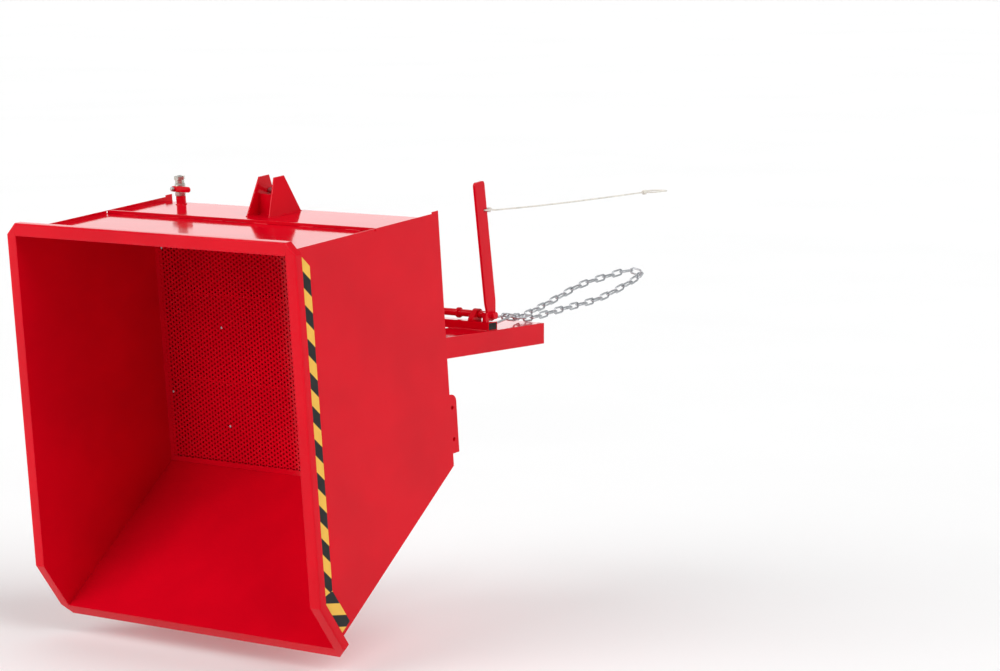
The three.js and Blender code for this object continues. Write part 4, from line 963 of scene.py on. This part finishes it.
class HOPPER_OT_chain(bpy.types.Operator):
    """Welded safety chain, its spring hook and the hook's gate"""

    bl_idname = "hopper.chain"
    bl_label = "Safety Chain"

    wire = 3.5 * MM
    pitch = 49 * MM
    width = 27 * MM
    bite = 1.4 * MM
    strands = 20 * MM
    hook_wire = 4 * MM
    hook_length = 120 * MM
    hook_width = 56 * MM
    hook_tilt = math.radians(10)
    hook_slack = 1.2 * MM
    hook_edge = 0.8 * MM
    chain_slack = 2.6 * MM
    eye_hole = 8.5 * MM
    gate_length = 56 * MM
    gate_wire = 3.5 * MM
    gate_tip = 0.7 * MM
    rivet = 1.3 * MM
    rivet_length = 9 * MM
    smooth = math.radians(60)
    # The chain's course in millimetres: along, aside from the eye, and up
    route = (
        (100, 12, 29), (12, 10, 22), (-100, 4, 29), (-207, -2, 36), (-429, -10, 52),
        (-600, -12, 88), (-690, -16, 112), (-735, -36, 124), (-738, -62, 130), (-700, -80, 130),
        (-600, -90, 118), (-450, -97, 100), (-261, -90, 58), (-140, -72, 38), (0, -48, 22),
        (90, -26, 30),
    )

    def link(self, start, end, upright):
        """One link between two joints of the chain."""
        forward = end - start
        reach = forward.length / 2 + self.wire - self.bite / 2
        forward.normalize()
        level = Vector((0, 0, 1)).cross(forward).normalized()
        raised = forward.cross(level)
        wide, flat = (raised, level) if upright else (level, raised)
        bend = self.width / 2 - self.wire
        centre = (start + end) / 2
        path = []
        for side in (1, -1):
            for p in arc_points((side * (reach - bend), 0), bend, -side * math.pi / 2,
                                math.pi - side * math.pi / 2, 12):
                path.append(centre + forward * p.x + wide * p.y)
        part = bmesh.new()
        tube(part, path, self.wire, 12, closed=True, sideways=flat)
        tidy(part)
        return part

    def add_links(self, context, hook, bend, straight):
        """The row of links, from the hook's far bend and back to it."""
        half = self.strands / 2
        depth = math.sqrt(bend ** 2 - half ** 2)
        clear = (self.hook_wire + self.wire + self.chain_slack) * bend / depth
        end_x = -straight - depth + clear - self.wire + self.bite / 2
        ends = [hook @ Vector((end_x, y, 0)) for y in (half, -half)]
        route = [Vector((x * MM, CHAIN_EYE.y + y * MM, z * MM)) for x, y, z in self.route]
        curve = catmull_rom([ends[0], *route, ends[1]])
        length = evenly(curve, 1)[1]
        joints = evenly(curve, 2 * int(length / self.pitch / 2) + 1)[0]
        bm = bmesh.new()
        for i, (start, end) in enumerate(zip(joints, joints[1:])):
            gather(bm, self.link(start, end, i % 2 == 0))
        place_piece(context, bm, "welded_links", "safety_chain", angle=self.smooth)

    def execute(self, context):
        bend = self.hook_width / 2 - self.hook_wire
        straight = (self.hook_length - self.hook_width) / 2
        wire_x = CHAIN_EYE.x - (self.eye_hole - self.hook_wire - self.hook_slack)
        hook = (Matrix.Translation((wire_x, CHAIN_EYE.y, CHAIN_EYE.z))
                @ Matrix.Rotation(self.hook_tilt, 4, "Y")
                @ Matrix.Translation((-bend - straight, 0, 0)))
        self.add_links(context, hook, bend, straight)

        path = [Vector((self.gate_length / 2, -bend))]
        path += arc_points((straight, 0), bend, -math.pi / 2, math.pi / 2, 24)
        path += arc_points((-straight, 0), bend, math.pi / 2, 1.5 * math.pi, 24)
        path += [Vector((-self.gate_length / 2, -bend))]
        bm = bmesh.new()
        tube(bm, [Vector((*p, 0)) for p in path], self.hook_wire, 20, sideways=Vector((0, 0, 1)))
        round_edges(bm, [e for e in bm.edges if any(len(f.verts) > 4 for f in e.link_faces)],
                    self.hook_edge)
        bmesh.ops.recalc_face_normals(bm, faces=bm.faces)
        bmesh.ops.transform(bm, matrix=hook, verts=bm.verts)
        place_piece(context, bm, "bent_spring_hook", "spring_hook")

        # The gate is a little thinner at its tip and round at its pivot
        reach = self.gate_length / 2 - GAP
        pivot = reach - self.gate_wire
        spots = [(-reach, 0.8), (-reach + self.gate_tip, 1.0)]
        for angle in (math.pi / 2 * i / 8 for i in range(8)):
            spots.append((pivot + self.gate_wire * math.sin(angle), math.cos(angle)))
        bm = bmesh.new()
        tube(bm, [Vector((x, -bend, 0)) for x, _ in spots], self.gate_wire, 20,
             scales=[scale for _, scale in spots])
        bmesh.ops.create_cone(bm, cap_ends=True, segments=16, radius1=self.rivet,
                              radius2=self.rivet, depth=self.rivet_length,
                              matrix=Matrix.Translation((pivot, -bend, 0)))
        bmesh.ops.recalc_face_normals(bm, faces=bm.faces)
        bmesh.ops.transform(bm, matrix=hook, verts=bm.verts)
        place_piece(context, bm, "riveted_gate", "spring_hook_gate")
        return {"FINISHED"}


class HOPPER_OT_rope(bpy.types.Operator):
    """Laid pull rope, knotted round the lever and ending in a hand loop"""

    bl_idname = "hopper.rope"
    bl_label = "Pull Rope"

    radius = 3 * MM
    lay = 22 * MM
    knot_radius = 9 * MM
    knot_length = 24 * MM
    wraps = 3
    wrap_steps = 20
    edge_distance = 13 * MM
    bend = 3.6 * MM
    loop_length = 110 * MM
    loop_width = 60 * MM
    step = 2.5 * MM
    line_steps = 382
    strands = 3
    groove = 0.22
    fullness = 0.8
    smooth = math.radians(70)
    # Where the taut line passes, in millimetres along and up
    route = (
        (270, 429.4), (200, 428.4), (130, 427.8), (60, 427.6), (-10, 427.6), (-80, 427.9),
        (-150, 428.4), (-220, 429.1), (-290, 430), (-360, 431), (-430, 432.1), (-500, 433.3),
        (-570, 434.7), (-640, 436.2),
    )

    def laid(self, path, closed=False, sideways=Vector((0, 1, 0))):
        """Three strands laid round each other along a path."""
        part = bmesh.new()
        edges = ring(part, self.radius, 24)
        for vert in part.verts:
            angle = math.atan2(vert.co.y, vert.co.x)
            lobe = abs(math.cos(self.strands * angle / 2)) ** self.fullness
            vert.co *= 1 - self.groove + self.groove * lobe
        after = path[1:] + (path[:1] if closed else [])
        length = sum((b - a).length for a, b in zip(path, after))
        twist = 2 * math.pi * max(1, round(length / self.lay)) / length
        sweep(part, edges, frames_along(path, sideways, twist, closed=closed), closed)
        tidy(part)
        return part

    def knot(self, bm, foot):
        """A barrel knot: wraps round the rope, drawn tight."""
        coil = self.knot_radius - self.radius
        long = self.knot_length - 2 * self.radius
        count = self.wraps * self.wrap_steps
        path = []
        for i in range(count + 1):
            angle = 2 * math.pi * i / self.wrap_steps
            x = self.radius + long * i / count
            path.append(foot + Vector((x, coil * math.cos(angle), coil * math.sin(angle))))
        gather(bm, self.laid(path, sideways=Vector((1, 0, 0))))

    def hoop(self, bm, middle, length, width, bend, steps):
        """A level closed loop of rope."""
        path = []
        for i, (sx, sy) in enumerate(((1, -1), (1, 1), (-1, 1), (-1, -1))):
            centre = (sx * (length / 2 - bend), sy * (width / 2 - bend))
            path += [middle + Vector((*p, 0)) for p in
                     arc_points(centre, bend, (i - 1) * math.pi / 2, i * math.pi / 2, steps)]
        fine = []
        for a, b in zip(path, path[1:] + path[:1]):
            if (b - a).length > MERGE:
                parts = max(1, round((b - a).length / self.step))
                fine += [a.lerp(b, k / parts) for k in range(parts)]
        gather(bm, self.laid(fine, closed=True, sideways=Vector((0, 0, 1))))

    def execute(self, context):
        front = ROPE_HOLE.x - (self.edge_distance + self.radius + GAP) / math.cos(LEVER_LEAN)
        start = Vector((front - self.knot_length - 2 * GAP, LEVER_PLACE, ROPE_HOLE.z))
        bm = bmesh.new()
        length = ROPE_HOLE.x - front
        width = LEVER_THICKNESS + 2 * (self.radius + GAP) + self.radius
        self.hoop(bm, ROPE_HOLE - Vector((length / 2, 0, 0)), length, width, self.bend, 6)
        foot = Vector((front - self.knot_length, LEVER_PLACE, ROPE_HOLE.z))
        self.knot(bm, foot)
        tail = start + Vector((self.knot_length, 0, 0))
        gather(bm, self.laid([foot.lerp(tail, i / 8) for i in range(9)]))
        place_piece(context, bm, "tied_knot", "rope_knot", angle=self.smooth)

        points = [start] + [Vector((x * MM, LEVER_PLACE, z * MM)) for x, z in self.route]
        end = points[-1]
        foot = Vector((end.x - 2 * GAP - self.knot_length, end.y, end.z))
        path, length = evenly([*catmull_rom(points), foot], self.line_steps)
        line = place_piece(context, self.laid(path), "laid_rope", "pull_rope", angle=self.smooth)

        bm = bmesh.new()
        self.knot(bm, foot)
        self.hoop(bm, foot + Vector((self.radius - self.loop_length / 2, 0, 0)), self.loop_length,
                  self.loop_width, self.loop_width / 2 - self.radius, 16)
        loop = place_piece(context, bm, "hand_loop", "rope_hand_loop", angle=self.smooth)
        return {"FINISHED"}


class HOPPER_OT_welds(bpy.types.Operator):
    """Weld beads where plates, lugs and tubes meet"""

    bl_idname = "hopper.welds"
    bl_label = "Weld Beads"

    ripple = 2.5 * MM
    crest = 1.06
    trough = 0.9
    tapered_end = 0.7
    # Rows of beads in millimetres: share of the weld size, places aside, and then along and up
    # where each starts and ends
    shell_beads = (
        (1, (103.2, 116.8), (418, -0.6), (486, -0.6)),
        (1, (525, 532), (634, -0.6), (835, -0.6)),
        (1, (44.6, 53.4), (-0.5, 61), (-0.5, 223)),
        (0.8, (596.4,), (-0.4, 60), (-0.4, 768)),
        (0.8, (596.2,), (856, 8), (1305, 660)),
        (0.8, (596.2,), (3.4, 116), (3.4, 770)),
    )
    frame_beads = (
        (1, (226.4, 249.6), (279, 36), (327, 36)),
        (1, (94.2, 125.8), (866, -34), (866, 4)),
        (1, (139.4,), (826, 5.6), (863, 5.6)),
    )
    # The chain's eye and the lever's stop are on the left alone
    left_beads = (
        (0.8, (257.4, 266.6), (277.4, 6.5), (277.4, 34)),
        (0.8, (291.4, 308.6), (318, 36), (327, 36)),
    )
    # Where tubes and beams cross the fork pockets
    crossings = (277, 329, 579, 621)
    crossing_ends = (141, 319)
    pocket_top = 6
    # The web between the catch plates
    web_side = ((-0.5, 45.4, 167), (-69, 37.2, 167))
    web_foot = ((-0.5, -44, 167.2), (-0.5, 44, 167.2))
    stiffener_edges = (316.2, 323.8)
    stiffener_face = -0.6
    stitches = range(-500, 501, 200)
    stitch_half = 30
    drain_radius = 17.4
    shaft_radius = 13.2
    shaft_places = (294.4, 305.6, -6.6, 6.2)

    def bead(self, bm, start, end, matrix=Matrix(), share=1.0):
        """A rippled bead between two points, in millimetres."""
        a, b = Vector(start) * MM, Vector(end) * MM
        count = max(3, round((b - a).length / self.ripple))
        path = [matrix @ a.lerp(b, i / count) for i in range(count + 1)]
        scales = [self.crest if i % 2 else self.trough for i in range(count + 1)]
        scales[0] *= self.tapered_end
        scales[-1] *= self.tapered_end
        along = (path[-1] - path[0]).normalized()
        sideways = Vector((0, 1, 0)) if abs(along.y) < 0.7 else Vector((1, 0, 0))
        part = bmesh.new()
        tube(part, path, self.size * share, 8, sideways=sideways, scales=scales)
        gather(bm, part)

    def collar(self, bm, centre, radius, axis, matrix=Matrix(), share=1.0):
        """A bead round a bar or a socket, in millimetres."""
        turn = Vector((0, 0, 1)).rotation_difference(Vector(axis)).to_matrix().to_4x4()
        count = max(24, round(math.pi * radius * MM / self.ripple) * 2)
        place = matrix @ Matrix.Translation(Vector(centre) * MM) @ turn
        path = [place @ (Vector((math.cos(a), math.sin(a), 0)) * radius * MM)
                for a in [2 * math.pi * i / count for i in range(count)]]
        part = bmesh.new()
        tube(part, path, self.size * share, 8, closed=True,
             sideways=place.to_3x3() @ Vector((0, 0, 1)))
        tidy(part)
        gather(bm, part)

    def rows(self, bm, beads, matrix=Matrix(), signs=(1, -1)):
        """Beads on both sides of the middle, or on one."""
        for share, places, start, end in beads:
            for y in (sign * place for place in places for sign in signs):
                self.bead(bm, spatial(start, y), spatial(end, y), matrix, share)

    def execute(self, context):
        self.size = context.scene.hopper_sizes.weld
        bm = bmesh.new()
        self.rows(bm, self.shell_beads, SHELL)
        for sign in (1, -1):
            ends = ((x, sign * y, z) for x, y, z in self.web_side)
            self.bead(bm, *ends, SHELL, 0.6)
        self.bead(bm, *self.web_foot, SHELL)
        for middle in self.stitches:
            for height in self.stiffener_edges:
                ends = ((self.stiffener_face, middle + reach, height)
                        for reach in (-self.stitch_half, self.stitch_half))
                self.bead(bm, *ends, SHELL)
        self.collar(bm, DRAIN / MM - Vector((1, 0, 0)), self.drain_radius, (1, 0, 0), SHELL)
        place_piece(context, bm, "hopper_welds", slot="red_paint", body="hopper")

        bm = bmesh.new()
        self.rows(bm, self.frame_beads)
        self.rows(bm, self.left_beads, signs=(1,))
        for sign in (1, -1):
            for along in self.crossings:
                ends = ((along, sign * y, self.pocket_top) for y in self.crossing_ends)
                self.bead(bm, *ends)
        place_piece(context, bm, "frame_welds", slot="red_paint", body="frame")

        bm = bmesh.new()
        for y in self.shaft_places:
            spot = SHAFT / MM + Vector((0, y, 0))
            self.collar(bm, spot, self.shaft_radius, (0, 1, 0), share=0.8)
        place_piece(context, bm, "latch_welds", slot="red_paint", body="latch")
        return {"FINISHED"}


class HOPPER_OT_studio(bpy.types.Operator):
    """White studio floor, soft lights and the camera"""

    bl_idname = "hopper.studio"
    bl_label = "Studio"

    floor_height = -1.0
    floor_reach = 400
    camera_place = Vector((9.8656, 7.6759, 1.4102))
    azimuth = math.radians(127.45)
    elevation = math.radians(6.725)
    lens = 123.84
    far_clip = 200
    room_strength = 0.9
    # The room's light by the share upward, and by the share towards the far side of the view
    overhead = ((0.35, 1.0), (1.0, 0.4))
    sweep = ((0.3, 0.45), (0.95, 1.7))
    lights = (
        ("Front light", (0.8, -0.3, 0.5), 1.75),
        ("Side light", (0.05, 0.7, 0.72), 1.75),
    )
    softness = math.radians(50)

    def add_floor(self, context):
        """A wide floor below the hopper."""
        bm = bmesh.new()
        bmesh.ops.create_grid(bm, x_segments=1, y_segments=1, size=self.floor_reach,
                              matrix=Matrix.Translation((0, 0, self.floor_height)))
        new_object(context, bm, "studio_floor", "floor")

    def add_room(self, context):
        """Light from the room: bright behind the hopper, darker in front of it and overhead."""
        world = bpy.data.worlds.new("Studio white")
        world.use_nodes = True
        tree = world.node_tree
        toward = add(tree, "ShaderNodeTexCoord").outputs["Generated"]
        upward = add(tree, "ShaderNodeSeparateXYZ", Vector=toward).outputs["Z"]
        behind = add(tree, "ShaderNodeVectorMath", {"operation": "DOT_PRODUCT"}, i0=toward)
        behind.inputs[1].default_value = (-math.sin(self.azimuth), math.cos(self.azimuth), 0)
        shares = [
            ramp(tree, source, *((place, grey(level)) for place, level in stops))
            for source, stops in ((upward, self.overhead), (behind.outputs["Value"], self.sweep))
        ]
        both = add(tree, "ShaderNodeVectorMath", {"operation": "MULTIPLY"},
                   i0=shares[0], i1=shares[1])
        background = tree.nodes["Background"].inputs
        tree.links.new(both.outputs["Vector"], background["Color"])
        background["Strength"].default_value = self.room_strength
        context.scene.world = world

    def add_camera(self, context):
        """The camera, far away with a narrow view."""
        lens = bpy.data.cameras.new("Camera")
        lens.lens = self.lens
        lens.clip_end = self.far_clip
        camera = bpy.data.objects.new("Camera", lens)
        context.scene.collection.objects.link(camera)
        camera.location = self.camera_place
        back = Vector((math.sin(self.azimuth) * math.cos(self.elevation),
                       -math.cos(self.azimuth) * math.cos(self.elevation),
                       math.sin(self.elevation)))
        camera.rotation_euler = back.to_track_quat("Z", "Y").to_euler()
        context.scene.camera = camera

    def execute(self, context):
        self.add_floor(context)
        self.add_room(context)
        context.scene.view_settings.view_transform = "Standard"
        for name, toward, strength in self.lights:
            lamp = bpy.data.lights.new(name, "SUN")
            lamp.angle = self.softness
            lamp.energy = strength
            holder = bpy.data.objects.new(name, lamp)
            context.scene.collection.objects.link(holder)
            holder.rotation_euler = Vector(toward).to_track_quat("Z", "Y").to_euler()
        self.add_camera(context)
        return {"FINISHED"}


class HOPPER_PT_panel(bpy.types.Panel):
    """Sidebar panel with the steps and their settings"""

    bl_idname = "HOPPER_PT_panel"
    bl_label = "Self Dumping Hopper"
    bl_space_type = "VIEW_3D"
    bl_region_type = "UI"
    bl_category = "Hopper"

    def draw(self, context):
        layout = self.layout
        for group in (context.scene.hopper_finish, context.scene.hopper_sizes):
            column = layout.column(align=True)
            for name in group.__annotations__:
                column.prop(group, name)
        column = layout.column(align=True)
        for operator in OPERATORS:
            column.operator(operator.bl_idname)


OPERATORS = (
    HOPPER_OT_materials,
    HOPPER_OT_soften,
    HOPPER_OT_plugs,
    HOPPER_OT_rear_wall,
    HOPPER_OT_rim,
    HOPPER_OT_tape,
    HOPPER_OT_sieve,
    HOPPER_OT_valve,
    HOPPER_OT_spring,
    HOPPER_OT_chain,
    HOPPER_OT_rope,
    HOPPER_OT_welds,
    HOPPER_OT_studio,
)
CLASSES = (HopperFinish, HopperSizes, *OPERATORS, HOPPER_PT_panel)


def register():
    for cls in CLASSES:
        bpy.utils.register_class(cls)
    bpy.types.Scene.hopper_finish = bpy.props.PointerProperty(type=HopperFinish)
    bpy.types.Scene.hopper_sizes = bpy.props.PointerProperty(type=HopperSizes)


def unregister():
    del bpy.types.Scene.hopper_sizes
    del bpy.types.Scene.hopper_finish
    for cls in reversed(CLASSES):
        bpy.utils.unregister_class(cls)


def main():
    register()
    for operator in OPERATORS:
        group, name = operator.bl_idname.split(".")
        result = getattr(getattr(bpy.ops, group), name)()
        if "FINISHED" not in result:
            raise RuntimeError(f"{operator.bl_label} did not finish")


if __name__ == "__main__":
    main()
